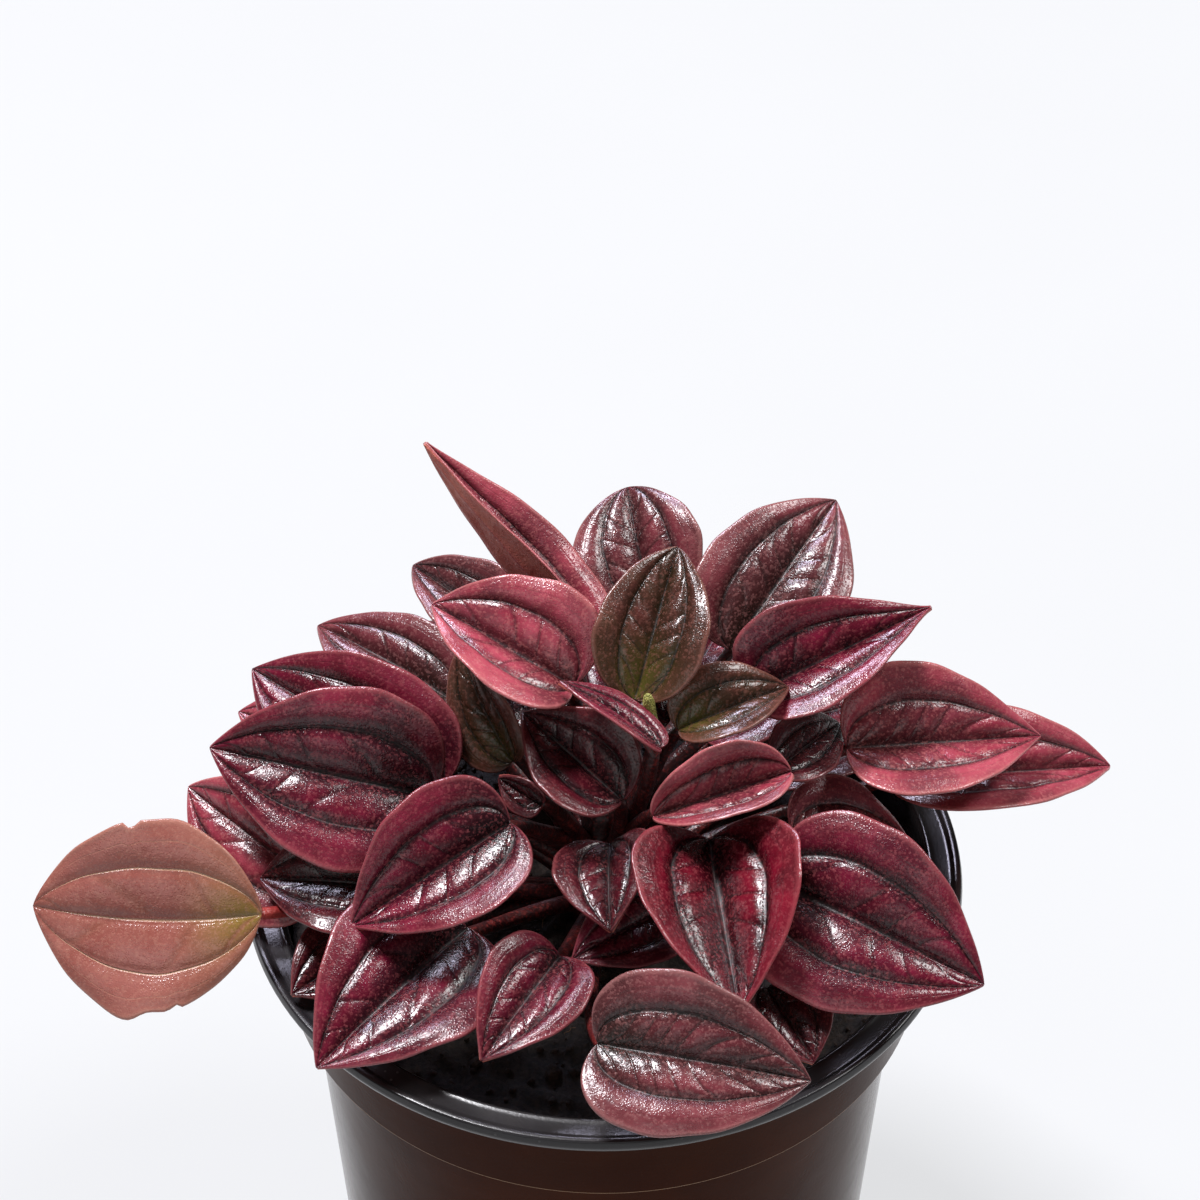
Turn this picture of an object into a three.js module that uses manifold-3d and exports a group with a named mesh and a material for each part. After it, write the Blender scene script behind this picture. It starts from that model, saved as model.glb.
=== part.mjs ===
// Potted peperomia: a low rosette of dark red, deeply veined leaves on pink stalks, rooted in
// potting soil in a two-colour plastic nursery pot.
// Millimetres, +Z up, origin at the centre of the pot's base, the photographed front towards -Y.
import * as THREE from 'three';
import { mergeVertices } from 'three/addons/utils/BufferGeometryUtils.js';
import Module from 'manifold-3d';

const wasm = await Module();
wasm.setup();

// ---- Driving dimensions -------------------------------------------------------------------

// Pot
const POT_HEIGHT = 100;
const RIM_RADIUS = 60;
const BASE_RADIUS = 45.7;
const BODY_TOP_RADIUS = 50.4;
const STEP_HEIGHT = 80; // where the body steps out to the collar
const COLLAR_LOW_RADIUS = 54;
const COLLAR_TOP_RADIUS = 54.8;
const WALL = 1.1;
const FLANGE_THICKNESS = 1.5;
const FOOT_LIFT = 3; // the drained part of the floor stands this far above the table
const CENTRE_PAD_RADIUS = 16;
const FOOT_INNER_RADIUS = 36;
const DRAIN_HOLES = 8;
const DRAIN_HOLE_RADIUS = 4;
const DRAIN_CIRCLE_RADIUS = 26;
const POT_SEGMENTS = 40;

// Soil
const SOIL_LEVEL = 88;
const MOUND_HEIGHT = 3;
const MOUND_RADIUS = 25;
const CRUMB_HEIGHT = 0.7;
const SOIL_RINGS = 7;
const SOIL_SEGMENTS = 30;

// Clearance that touching pieces keep
const GAP = 0.3;

// Crown: the short stem that every stalk grows from
const NECK_RADIUS = 6;
const NECK_FOOT = 76;
const CROWN_SHOULDER = 94;
const CROWN_TOP = 113;
const CROWN_TOP_RADIUS = 3.2;

// Stalks
const STALK_ROOT_RADIUS = 1.7;
const STALK_TIP_RADIUS = 1.0;
const STALK_SIDES = 5;
const STALK_STEPS = 6;
const LOWEST_STALK_ROOT = 92;
const HIGHEST_STALK_ROOT = 110;
const STALK_RISE = 18; // from its root to its blade, where the crown is tall enough
const STALK_ROOT_OFFSET = 1.5;
const STALK_LIFT = 0.8; // how steeply a stalk comes up under its blade
const STALK_CLEARANCE = 0.7; // between the end of a stalk and its blade

// Leaf blades
const BLADE_THICKNESS = 0.8;
const BLADE_ROWS = 7; // steps from base to tip
const BLADE_COLUMNS = [-1, -0.8, -0.55, -0.28, 0, 0.28, 0.55, 0.8, 1]; // margin, veins and pillows
const VEIN_DEPTH = 0.055; // of the half width, for the midrib groove
const SIDE_VEIN = 0.55; // where the side vein runs, as a share of the half width
const SIDE_VEIN_DEPTH = 0.04;
const VEIN_SPREAD = 0.16;
const BASE_WEDGE = 0.55; // exponents of the outline: small is round, 1 is straight
const TIP_POINT = 0.92;
const LOBE_SET_BACK = 0.12; // how far the lobes reach behind the stalk, as a share of the length
const RUFFLE = 0.05; // margin wave, as a share of the half width

// Flower spike in bud
const SPIKE_RADIUS = 1.1;
const SPIKE_BASE = [8, 0, 130];
const SPIKE_TIP = [7, 0, 139];
const SPIKE_SIDES = 8;

// ---- Leaves -------------------------------------------------------------------------------

// Each leaf in view: base is where the stalk meets the blade, tip its point, face the way its
// upper side looks, half its half width, fold the degrees that its left and right halves rise
// from the midrib, cup the degrees more by the margin, bow the arch of its midrib upwards and
// sway its bend to the left, both as a share of its length. Some have an outline of their own:
// wedge, point and lobe stand in for BASE_WEDGE, TIP_POINT and LOBE_SET_BACK, and lift for
// STALK_LIFT.
const LEAVES = [
  // Left side, from the faded leaf that hangs over the rim
  { base: [-55, -22, 111], tip: [-92, -20, 111], face: [0, -7, 6], half: 16.5,
    fold: [2, 2], cup: 6, bow: 0.04, sway: 0.04, wedge: 0.7, point: 0.8, lobe: 0, lift: 1.6,
    tone: 'faded' },
  { base: [-46, -12, 107], tip: [-69, 5, 113], face: [-3, -6, 6], half: 12,
    fold: [8, 8], cup: 10, bow: 0.05 },
  { base: [-28, -5, 121], tip: [-64, 0, 127], face: [0, -6, 6], half: 15.5,
    fold: [8, 8], cup: 16, bow: 0.06 },
  { base: [-32, 11, 111], tip: [-62, 23, 113], face: [-2, -4, 8], half: 11,
    fold: [8, 8], cup: 10, bow: 0.05 },
  { base: [-27, 2, 116], tip: [-59, 23, 123], face: [-1, -5, 7], half: 13.5,
    fold: [8, 8], cup: 16, bow: 0.06 },
  { base: [-25, 18, 120], tip: [-49, 37, 120], face: [-1, -2, 9], half: 9,
    fold: [15, 15], cup: 10, bow: 0.06 },
  { base: [-15, 4, 120], tip: [-24, 19, 132], face: [-6, -6, 5], half: 7,
    fold: [15, 15], cup: 10, bow: 0.05, tone: 'young' },
  // Back
  { base: [-14, 31, 121], tip: [-33, 48, 124], face: [-2, -3, 9], half: 9,
    fold: [30, 30], cup: 10, bow: 0.05 },
  { base: [-3, 21, 132], tip: [-29, 39, 159], face: [5, -4, 6], half: 10.5,
    fold: [70, 10], cup: 20, bow: -0.1, point: 1.1 },
  { base: [9, 30, 126], tip: [4, 50, 140], face: [-1, -8, 5], half: 11.5,
    fold: [12, 12], cup: 5, bow: 0.1, wedge: 0.75, point: 0.7 },
  { base: [21, 18, 132], tip: [39, 42, 144], face: [-1, -7, 6], half: 13,
    fold: [10, 10], cup: 10, bow: 0.06 },
  // Round the heart
  { base: [5, 2, 136], tip: [12, 22, 151], face: [-1, -8, 6], half: 10,
    fold: [15, 15], cup: 20, bow: 0.05, lobe: 0.06, point: 0.8, tone: 'young' },
  { base: [-5, 5, 136], tip: [-28, 17, 143], face: [2, -6, 7], half: 13.5,
    fold: [40, 10], cup: 16, bow: 0.05, lobe: 0.16 },
  { base: [25, 9, 131], tip: [54, 22, 138], face: [-3, -8, 6], half: 11.5,
    fold: [5, 40], cup: 20, bow: 0.05, lobe: 0.16, point: 1.3 },
  { base: [12, -1, 132], tip: [30, 7, 134], face: [1, -5, 7], half: 8,
    fold: [5, 50], cup: 5, bow: 0.12, tone: 'young' },
  { base: [3, -9, 124], tip: [-13, 3, 132], face: [4, -7, 5], half: 10,
    fold: [15, 15], cup: 30, bow: 0, lobe: 0.06 },
  { base: [8, -13.5, 125], tip: [30, -8, 129.5], face: [-1, -8, 5], half: 9,
    fold: [5, 60], cup: 30, bow: 0, wedge: 0.75, point: 0.55, lobe: 0.06 },
  { base: [9, -7, 134], tip: [-7, 1, 141], face: [4, 1, 8], half: 4.4,
    fold: [10, 10], cup: 10, bow: 0.05 },
  // Right side
  { base: [40, 5, 122], tip: [73, 13, 117], face: [0, -6, 7], half: 13.5,
    fold: [5, 40], cup: 12, bow: 0.06, point: 1.1 },
  { base: [48, 8, 112], tip: [86, 17, 106], face: [1, -6, 7], half: 12,
    fold: [5, 50], cup: 10, bow: 0.05 },
  { base: [28, -3, 125], tip: [39, 11, 122], face: [2, -4, 8], half: 6,
    fold: [15, 15], cup: 10, bow: 0.05 },
  { base: [31, -5, 112], tip: [51, 0, 105], face: [2, -3, 9], half: 10,
    fold: [8, 8], cup: 8, bow: 0.05 },
  { base: [27, -21, 118], tip: [60, -37, 111], face: [0, -6, 7], half: 16,
    fold: [8, 8], cup: 12, bow: 0.08 },
  // Front
  { base: [-15, -15, 125], tip: [-40, -28, 115], face: [-3, -7, 7], half: 13,
    fold: [14, 14], cup: 30, bow: 0.03 },
  { base: [-33, -16, 111], tip: [-56, -13, 110], face: [-1, -5, 8], half: 11,
    fold: [24, 9], cup: 10, bow: 0.05 },
  { base: [-37, -19, 101.5], tip: [-50, -31, 102], face: [-3, -6, 8], half: 8.5,
    fold: [8, 8], cup: 8, bow: 0.03 },
  { base: [-22, -22, 108], tip: [-45, -48, 104], face: [-2, -7, 7], half: 15,
    fold: [14, 4], cup: 14, bow: 0.06, lobe: 0.06 },
  { base: [-7, -30, 110], tip: [-19, -49, 107], face: [0, -5, 8], half: 9,
    fold: [12, 12], cup: 16, bow: 0.05 },
  { base: [1, -12, 117], tip: [1, -30, 116], face: [-3, -6, 7], half: 9,
    fold: [10, 20], cup: 16, bow: 0.05 },
  { base: [12, -16, 107], tip: [-5, -28, 107], face: [0, -5, 8], half: 8,
    fold: [10, 10], cup: 10, bow: 0.05 },
  { base: [17, -14, 120], tip: [21, -45, 114], face: [0, -5, 8], half: 17,
    fold: [20, 20], cup: 35, bow: 0, lobe: 0.1 },
  { base: [-1, -50, 112], tip: [32, -55, 109], face: [0, -6, 8], half: 13,
    fold: [8, 8], cup: 10, bow: 0.08, lobe: 0.16 },
  { base: [26, -35, 108], tip: [33, -47, 104], face: [3, -5, 7], half: 8,
    fold: [8, 8], cup: 8, bow: 0.05 },
  { base: [-10, -10, 124], tip: [-17, -6, 126], face: [-3, -8, 5], half: 3.5,
    fold: [20, 20], cup: 20, bow: 0 },
];

// Lower leaves at the back, which the others hide: one row laid out by angle
const BACK_LEAVES = 6;
const BACK_FIRST_ANGLE = 30;
const BACK_LAST_ANGLE = 124;
const BACK_BASE_RADIUS = 30;
const BACK_LENGTH = 34;
const BACK_HALF_WIDTH = 11;
const BACK_BASE_HEIGHT = 106;
const BACK_TIP_DROP = 2;
const BACK_STAGGER = 4; // every other one starts this much higher and further in
const BACK_SCATTER = 3;
const SCATTER_SEED = 7;

// ---- Colours --------------------------------------------------------------------------------

function finish(color, roughness) {
  return new THREE.MeshStandardMaterial({ color, roughness, metalness: 0 });
}

const POT_MATERIAL = finish(0x3a2720, 0.3);
const SOIL_MATERIAL = finish(0x1d1512, 1);
const STALK_MATERIAL = finish(0xa8433f, 0.45);
const LEAF_MATERIAL = finish(0x6a1f30, 0.4);
const FADED_LEAF_MATERIAL = finish(0xa8665c, 0.45);
const YOUNG_LEAF_MATERIAL = finish(0x4c3a2c, 0.4);
const SPIKE_MATERIAL = finish(0x9a9a4c, 0.6);

// ---- Small helpers --------------------------------------------------------------------------

const radians = THREE.MathUtils.degToRad;

// A repeatable random draw between -1 and 1.
function makeScatter(seed) {
  let state = seed;
  return () => {
    state = (state * 16807) % 2147483647;
    return (state / 2147483647) * 2 - 1;
  };
}

// A closed BufferGeometry as a manifold-3d solid.
function toSolid(geometry) {
  const bare = geometry.index ? geometry.toNonIndexed() : geometry.clone();
  bare.deleteAttribute('normal');
  bare.deleteAttribute('uv');
  const merged = mergeVertices(bare, 1e-3);
  return new wasm.Manifold(new wasm.Mesh({
    numProp: 3,
    vertProperties: merged.attributes.position.array,
    triVerts: new Uint32Array(merged.index.array),
  }));
}

// A manifold-3d solid as a BufferGeometry.
function toGeometry(solid) {
  const mesh = solid.getMesh();
  const geometry = new THREE.BufferGeometry();
  geometry.setAttribute('position', new THREE.BufferAttribute(mesh.vertProperties, 3));
  geometry.setIndex(new THREE.BufferAttribute(mesh.triVerts, 1));
  geometry.computeVertexNormals();
  return geometry;
}

// A solid of revolution round Z from [radius, height] points that start and end on the axis.
function turned(profile, segments) {
  const geometry = new THREE.LatheGeometry(profile.map(([r, z]) => new THREE.Vector2(r, z)), segments);
  geometry.rotateX(Math.PI / 2);
  return geometry;
}

function geometryFrom(positions, triangles) {
  const geometry = new THREE.BufferGeometry();
  geometry.setAttribute('position', new THREE.Float32BufferAttribute(positions, 3));
  geometry.setIndex(triangles);
  geometry.computeVertexNormals();
  return geometry;
}

// ---- Pot ------------------------------------------------------------------------------------

const flangeTop = POT_HEIGHT - 0.6;
const collarInnerTop = COLLAR_TOP_RADIUS - WALL;
const collarInnerLow = COLLAR_LOW_RADIUS - WALL;
const bodyInnerTop = BODY_TOP_RADIUS - WALL;
const footRadius = BASE_RADIUS - 1.2;
const floorInnerRadius = footRadius - 0.2;
const liftedInner = CENTRE_PAD_RADIUS + FOOT_LIFT * 0.7;
const liftedOuter = FOOT_INNER_RADIUS - FOOT_LIFT * 0.7;

function potProfile() {
  return [
    // Underside: flat centre pad, lifted ring with the drain holes, standing ring
    [0, 0],
    [CENTRE_PAD_RADIUS, 0],
    [liftedInner, FOOT_LIFT],
    [liftedOuter, FOOT_LIFT],
    [FOOT_INNER_RADIUS, 0],
    [footRadius, 0],
    // Outside: tapered body, step, collar, flange with its rolled lip
    [BASE_RADIUS, 1.4],
    [BODY_TOP_RADIUS, STEP_HEIGHT - 0.5],
    [COLLAR_LOW_RADIUS, STEP_HEIGHT],
    [COLLAR_TOP_RADIUS, POT_HEIGHT - FLANGE_THICKNESS - 0.8],
    [RIM_RADIUS - 0.5, POT_HEIGHT - FLANGE_THICKNESS - 0.8],
    [RIM_RADIUS, POT_HEIGHT - 1.5],
    [RIM_RADIUS - 0.5, POT_HEIGHT - 0.2],
    [RIM_RADIUS - 1.2, POT_HEIGHT],
    [RIM_RADIUS - 1.9, flangeTop - 0.1],
    [COLLAR_TOP_RADIUS, flangeTop],
    // Inside: rounded shoulder, collar, ledge, body and floor
    [collarInnerTop, flangeTop - 1.1],
    [collarInnerLow, STEP_HEIGHT + WALL],
    [bodyInnerTop, STEP_HEIGHT + WALL - 0.5],
    [floorInnerRadius, WALL + 0.6],
    [FOOT_INNER_RADIUS + 0.6, WALL],
    [liftedOuter + 0.4, FOOT_LIFT + WALL],
    [liftedInner - 0.4, FOOT_LIFT + WALL],
    [CENTRE_PAD_RADIUS - 0.6, WALL],
    [0, WALL],
  ];
}

function drainHole(index) {
  const angle = (index / DRAIN_HOLES) * 2 * Math.PI;
  const hole = new THREE.CylinderGeometry(DRAIN_HOLE_RADIUS, DRAIN_HOLE_RADIUS, 4 * WALL, 12);
  hole.rotateX(Math.PI / 2);
  hole.translate(
    DRAIN_CIRCLE_RADIUS * Math.cos(angle),
    DRAIN_CIRCLE_RADIUS * Math.sin(angle),
    FOOT_LIFT + WALL / 2,
  );
  return toSolid(hole);
}

function potGeometry() {
  let pot = toSolid(turned(potProfile(), POT_SEGMENTS));
  for (let i = 0; i < DRAIN_HOLES; i += 1) {
    pot = pot.subtract(drainHole(i));
  }
  return toGeometry(pot);
}

// ---- Soil -----------------------------------------------------------------------------------

// Height of the soil's top: a mound round the crown, broken into crumbs.
function soilHeight(radius, angle) {
  const mound = MOUND_HEIGHT * Math.exp(-((radius / MOUND_RADIUS) ** 2));
  const crumbs = Math.sin(5 * angle + 0.31 * radius) * Math.cos(7 * angle - 0.83 * radius);
  return SOIL_LEVEL + mound + CRUMB_HEIGHT * crumbs;
}

// The soil fills the pot: its side follows the inner wall and its top is the crumbly mound,
// with a plain round hole where the crown stands.
function soilGeometry() {
  const holeRadius = NECK_RADIUS + GAP;
  const holeFloor = NECK_FOOT - GAP;
  const topRadius = THREE.MathUtils.mapLinear(
    SOIL_LEVEL, STEP_HEIGHT + WALL, flangeTop - 1.1, collarInnerLow, collarInnerTop) - 2 * GAP;
  const rings = [
    [holeRadius, () => holeFloor],
  ];
  for (let i = 0; i <= SOIL_RINGS; i += 1) {
    rings.push([THREE.MathUtils.lerp(holeRadius, topRadius, i / SOIL_RINGS), soilHeight]);
  }
  rings.push([collarInnerLow - 2 * GAP, () => STEP_HEIGHT + WALL + GAP]);
  rings.push([bodyInnerTop - 2 * GAP, () => STEP_HEIGHT + WALL + GAP - 0.5]);
  rings.push([floorInnerRadius, () => FOOT_LIFT + WALL + GAP]);
  const positions = [0, 0, holeFloor];
  for (const [radius, height] of rings) {
    for (let j = 0; j < SOIL_SEGMENTS; j += 1) {
      const angle = (j / SOIL_SEGMENTS) * 2 * Math.PI;
      positions.push(radius * Math.cos(angle), radius * Math.sin(angle), height(radius, angle));
    }
  }
  positions.push(0, 0, FOOT_LIFT + WALL + GAP);
  const triangles = [];
  const last = positions.length / 3 - 1;
  for (let j = 0; j < SOIL_SEGMENTS; j += 1) {
    const next = (j + 1) % SOIL_SEGMENTS;
    triangles.push(0, 1 + j, 1 + next);
    for (let i = 0; i + 1 < rings.length; i += 1) {
      const inner = 1 + i * SOIL_SEGMENTS;
      const outer = inner + SOIL_SEGMENTS;
      triangles.push(inner + j, outer + j, outer + next);
      triangles.push(inner + j, outer + next, inner + next);
    }
    const edge = 1 + (rings.length - 1) * SOIL_SEGMENTS;
    triangles.push(edge + j, last, edge + next);
  }
  return geometryFrom(positions, triangles);
}

// ---- Leaf blades ----------------------------------------------------------------------------

// The blade's own axes: along the midrib, square to it towards the left, and up from its face.
function bladeAxes(leaf) {
  const base = new THREE.Vector3(...leaf.base);
  const along = new THREE.Vector3(...leaf.tip).sub(base);
  const length = along.length();
  along.normalize();
  const up = new THREE.Vector3(...leaf.face);
  up.addScaledVector(along, -up.dot(along)).normalize();
  const left = up.clone().cross(along);
  return { base, along, left, up, length };
}

// Share of the half width at a share of the length: round base, widest before the middle.
function outline(share, wedge, point) {
  const widest = wedge / (wedge + point);
  return (share / widest) ** wedge * ((1 - share) / (1 - widest)) ** point;
}

// Sunken veins: the midrib and one side vein, as a share of the half width.
function veinRelief(reach) {
  const midrib = VEIN_DEPTH * Math.exp(-((reach / VEIN_SPREAD) ** 2));
  const side = SIDE_VEIN_DEPTH * Math.exp(-(((reach - SIDE_VEIN) / VEIN_SPREAD) ** 2));
  return -(midrib + side);
}

// A point of the upper face, share of the way from base to tip and across from -1 (right margin)
// to 1 (left margin). Each half turns up by its fold, and on by the cup towards its margin.
function bladePoint(leaf, axes, share, across) {
  const reach = Math.abs(across);
  const half = leaf.half * outline(share, leaf.wedge ?? BASE_WEDGE, leaf.point ?? TIP_POINT);
  const fold = radians(across > 0 ? leaf.fold[0] : leaf.fold[1]);
  const cup = radians(leaf.cup);
  const out = (half * (Math.sin(fold + cup * reach) - Math.sin(fold))) / cup;
  const rise = (half * (Math.cos(fold) - Math.cos(fold + cup * reach))) / cup;
  const ruffle = RUFFLE * half * reach ** 4 * Math.sin(9 * share + 4 * leaf.tip[0] + across);
  const bow = 4 * leaf.bow * axes.length * share * (1 - share);
  const sway = 4 * (leaf.sway ?? 0) * axes.length * share * (1 - share);
  const setBack = 3 * (leaf.lobe ?? LOBE_SET_BACK) * axes.length * reach ** 2
    * Math.sqrt(share) * (1 - share) ** 3;
  return axes.base.clone()
    .addScaledVector(axes.along, share * axes.length - setBack)
    .addScaledVector(axes.left, Math.sign(across) * out + sway)
    .addScaledVector(axes.up, rise + ruffle + bow + half * veinRelief(reach));
}

// A closed thin blade: the same triangles on both faces, the lower one set back square to it.
function bladeGeometry(leaf) {
  const axes = bladeAxes(leaf);
  const columns = BLADE_COLUMNS.length;
  const rows = BLADE_ROWS - 1;
  const top = [bladePoint(leaf, axes, 0, 0)];
  for (let i = 1; i <= rows; i += 1) {
    const share = (1 - Math.cos((Math.PI * i) / BLADE_ROWS)) / 2;
    BLADE_COLUMNS.forEach((across) => top.push(bladePoint(leaf, axes, share, across)));
  }
  top.push(bladePoint(leaf, axes, 1, 0));
  const tip = top.length - 1;
  const face = [];
  for (let j = 0; j + 1 < columns; j += 1) {
    face.push([0, 1 + j, 2 + j]);
    for (let i = 0; i + 1 < rows; i += 1) {
      const near = 1 + i * columns + j;
      const far = near + columns;
      face.push([near, far, far + 1]);
      face.push([near, far + 1, near + 1]);
    }
    const lastRow = 1 + (rows - 1) * columns + j;
    face.push([lastRow, tip, lastRow + 1]);
  }
  const upper = geometryFrom(top.flatMap((p) => p.toArray()), face.flat());
  const normals = upper.getAttribute('normal');
  const under = top.map((p, k) => p.clone().addScaledVector(
    new THREE.Vector3().fromBufferAttribute(normals, k), -BLADE_THICKNESS));
  const below = top.length;
  const triangles = [...face, ...face.map(([a, b, c]) => [below + a, below + c, below + b])];
  const right = [0];
  const left = [0];
  for (let i = 0; i < rows; i += 1) {
    right.push(1 + i * columns);
    left.push(1 + i * columns + columns - 1);
  }
  right.push(tip);
  left.push(tip);
  for (let k = 0; k + 1 < right.length; k += 1) {
    const [a, b] = [right[k], right[k + 1]];
    triangles.push([a, below + b, b], [a, below + a, below + b]);
    const [c, d] = [left[k], left[k + 1]];
    triangles.push([c, d, below + d], [c, below + d, below + c]);
  }
  return geometryFrom([...top, ...under].flatMap((p) => p.toArray()), triangles.flat());
}

// The hidden leaves at the back, one every few degrees, each scattered a little.
function backLeaves() {
  const scatter = makeScatter(SCATTER_SEED);
  const leaves = [];
  for (let i = 0; i < BACK_LEAVES; i += 1) {
    const turn = THREE.MathUtils.lerp(BACK_FIRST_ANGLE, BACK_LAST_ANGLE, i / (BACK_LEAVES - 1));
    const angle = radians(turn + scatter());
    const high = i % 2 ? BACK_STAGGER : 0;
    const reach = BACK_BASE_RADIUS + BACK_LENGTH + BACK_SCATTER * scatter() - high;
    const base = BACK_BASE_RADIUS - high;
    const height = BACK_BASE_HEIGHT + high;
    leaves.push({
      base: [base * Math.cos(angle), base * Math.sin(angle), height],
      tip: [reach * Math.cos(angle), reach * Math.sin(angle), height - BACK_TIP_DROP],
      face: [0.4 * Math.cos(angle), 0.4 * Math.sin(angle), 1],
      half: BACK_HALF_WIDTH,
      fold: [10, 10],
      cup: 8,
      bow: 0.06,
    });
  }
  return leaves;
}

// ---- Crown and stalks -----------------------------------------------------------------------

function crownSolid() {
  return toSolid(turned([
    [0, NECK_FOOT],
    [NECK_RADIUS, NECK_FOOT],
    [NECK_RADIUS, CROWN_SHOULDER],
    [NECK_RADIUS - 1, (CROWN_SHOULDER + CROWN_TOP) / 2],
    [CROWN_TOP_RADIUS, CROWN_TOP],
    [0, CROWN_TOP + 1],
  ], 10));
}

// A round rod that thins along a curve, with flat ends.
function taperedRod(curve, rootRadius, tipRadius, steps, sides) {
  const frames = curve.computeFrenetFrames(steps, false);
  const positions = [];
  for (let i = 0; i <= steps; i += 1) {
    const centre = curve.getPointAt(i / steps);
    const radius = THREE.MathUtils.lerp(rootRadius, tipRadius, i / steps);
    for (let j = 0; j < sides; j += 1) {
      const angle = (j / sides) * 2 * Math.PI;
      const rim = centre.clone()
        .addScaledVector(frames.normals[i], radius * Math.cos(angle))
        .addScaledVector(frames.binormals[i], radius * Math.sin(angle));
      positions.push(...rim.toArray());
    }
  }
  positions.push(...curve.getPointAt(0).toArray(), ...curve.getPointAt(1).toArray());
  const rootCentre = (steps + 1) * sides;
  const triangles = [];
  for (let j = 0; j < sides; j += 1) {
    const next = (j + 1) % sides;
    for (let i = 0; i < steps; i += 1) {
      const near = i * sides;
      const far = near + sides;
      triangles.push(near + j, near + next, far + next);
      triangles.push(near + j, far + next, far + j);
    }
    triangles.push(rootCentre, next, j);
    triangles.push(rootCentre + 1, steps * sides + j, steps * sides + next);
  }
  return geometryFrom(positions, triangles);
}

// A stalk leaves the crown outwards and bends up to its end, where it points the approach's way.
function stalkCurve(end, approach) {
  const height = THREE.MathUtils.clamp(end.z - STALK_RISE, LOWEST_STALK_ROOT, HIGHEST_STALK_ROOT);
  const outwards = new THREE.Vector3(end.x, end.y, 0).normalize();
  const root = outwards.clone().multiplyScalar(STALK_ROOT_OFFSET).setZ(height);
  const span = root.distanceTo(end);
  const leave = root.clone()
    .addScaledVector(outwards, 0.25 * span)
    .add(new THREE.Vector3(0, 0, 0.2 * span));
  const straight = end.clone().sub(root).normalize();
  const arrive = end.clone().addScaledVector(straight.add(approach).normalize(), -0.3 * span);
  return new THREE.CubicBezierCurve3(root, leave, arrive, end);
}

// The stalk of a leaf ends just short of the underside of its blade.
function leafStalk(leaf) {
  const axes = bladeAxes(leaf);
  const end = bladePoint(leaf, axes, 0.02, 0)
    .addScaledVector(axes.up, -(BLADE_THICKNESS + STALK_CLEARANCE));
  const approach = axes.along.clone()
    .multiplyScalar(0.5)
    .addScaledVector(axes.up, leaf.lift ?? STALK_LIFT)
    .normalize();
  return stalkCurve(end, approach);
}

// The flower spike's stalk ends just short of it and points along it.
function spikeStalk() {
  const base = new THREE.Vector3(...SPIKE_BASE);
  const approach = new THREE.Vector3(...SPIKE_TIP).sub(base).normalize();
  return stalkCurve(base.addScaledVector(approach, -GAP), approach);
}

function crownAndStalksGeometry(leaves) {
  const curves = [...leaves.map(leafStalk), spikeStalk()];
  const stalks = curves.map((curve) => toSolid(
    taperedRod(curve, STALK_ROOT_RADIUS, STALK_TIP_RADIUS, STALK_STEPS, STALK_SIDES)));
  return toGeometry(stalks.reduce((whole, stalk) => whole.add(stalk), crownSolid()));
}

// ---- Flower spike ---------------------------------------------------------------------------

// A short finger in bud, round at its top.
function spikeGeometry() {
  const base = new THREE.Vector3(...SPIKE_BASE);
  const along = new THREE.Vector3(...SPIKE_TIP).sub(base);
  const length = along.length();
  const spike = turned([
    [0, 0],
    [SPIKE_RADIUS * 0.8, 0],
    [SPIKE_RADIUS, length * 0.3],
    [SPIKE_RADIUS * 0.9, length * 0.8],
    [SPIKE_RADIUS * 0.5, length * 0.97],
    [0, length],
  ], SPIKE_SIDES);
  spike.applyQuaternion(new THREE.Quaternion().setFromUnitVectors(
    new THREE.Vector3(0, 0, 1), along.normalize()));
  return spike.translate(...SPIKE_BASE);
}

// ---- The object -----------------------------------------------------------------------------

function named(name, geometry, material) {
  const mesh = new THREE.Mesh(geometry, material);
  mesh.name = name;
  return mesh;
}

const leafMaterials = { faded: FADED_LEAF_MATERIAL, young: YOUNG_LEAF_MATERIAL };
const leaves = [...LEAVES, ...backLeaves()];
const plant = new THREE.Group();
plant.add(named('pot', potGeometry(), POT_MATERIAL));
plant.add(named('soil', soilGeometry(), SOIL_MATERIAL));
plant.add(named('crown_and_stalks', crownAndStalksGeometry(leaves), STALK_MATERIAL));
leaves.forEach((leaf, index) => {
  const number = String(index + 1).padStart(2, '0');
  plant.add(named(`leaf_${number}`, bladeGeometry(leaf), leafMaterials[leaf.tone] ?? LEAF_MATERIAL));
});
plant.add(named('flower_spike', spikeGeometry(), SPIKE_MATERIAL));

export default plant;
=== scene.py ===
"""Looks of a potted peperomia: dark red puckered leaves on pink stalks in a two-colour nursery pot.

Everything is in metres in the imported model's frame; sizes in the classes are in millimetres, and
colours are 8-bit screen colours.
"""

import logging
import math
from dataclasses import dataclass
from enum import Enum
from typing import Any, Sequence

import bmesh
import bpy
import numpy as np
from mathutils import Matrix, Vector, noise


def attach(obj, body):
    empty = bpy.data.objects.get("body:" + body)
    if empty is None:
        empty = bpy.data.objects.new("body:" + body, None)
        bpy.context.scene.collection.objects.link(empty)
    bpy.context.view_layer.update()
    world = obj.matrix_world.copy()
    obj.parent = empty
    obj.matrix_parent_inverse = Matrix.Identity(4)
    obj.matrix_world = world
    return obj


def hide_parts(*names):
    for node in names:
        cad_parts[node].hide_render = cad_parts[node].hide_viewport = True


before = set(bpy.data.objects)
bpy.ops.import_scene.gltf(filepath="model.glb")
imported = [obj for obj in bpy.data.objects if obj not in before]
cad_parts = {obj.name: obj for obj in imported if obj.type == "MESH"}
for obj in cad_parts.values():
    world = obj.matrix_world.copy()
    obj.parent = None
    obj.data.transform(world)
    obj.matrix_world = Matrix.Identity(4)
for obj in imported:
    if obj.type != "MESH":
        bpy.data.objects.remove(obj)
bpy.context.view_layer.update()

log = logging.getLogger("peperomia")

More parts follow.
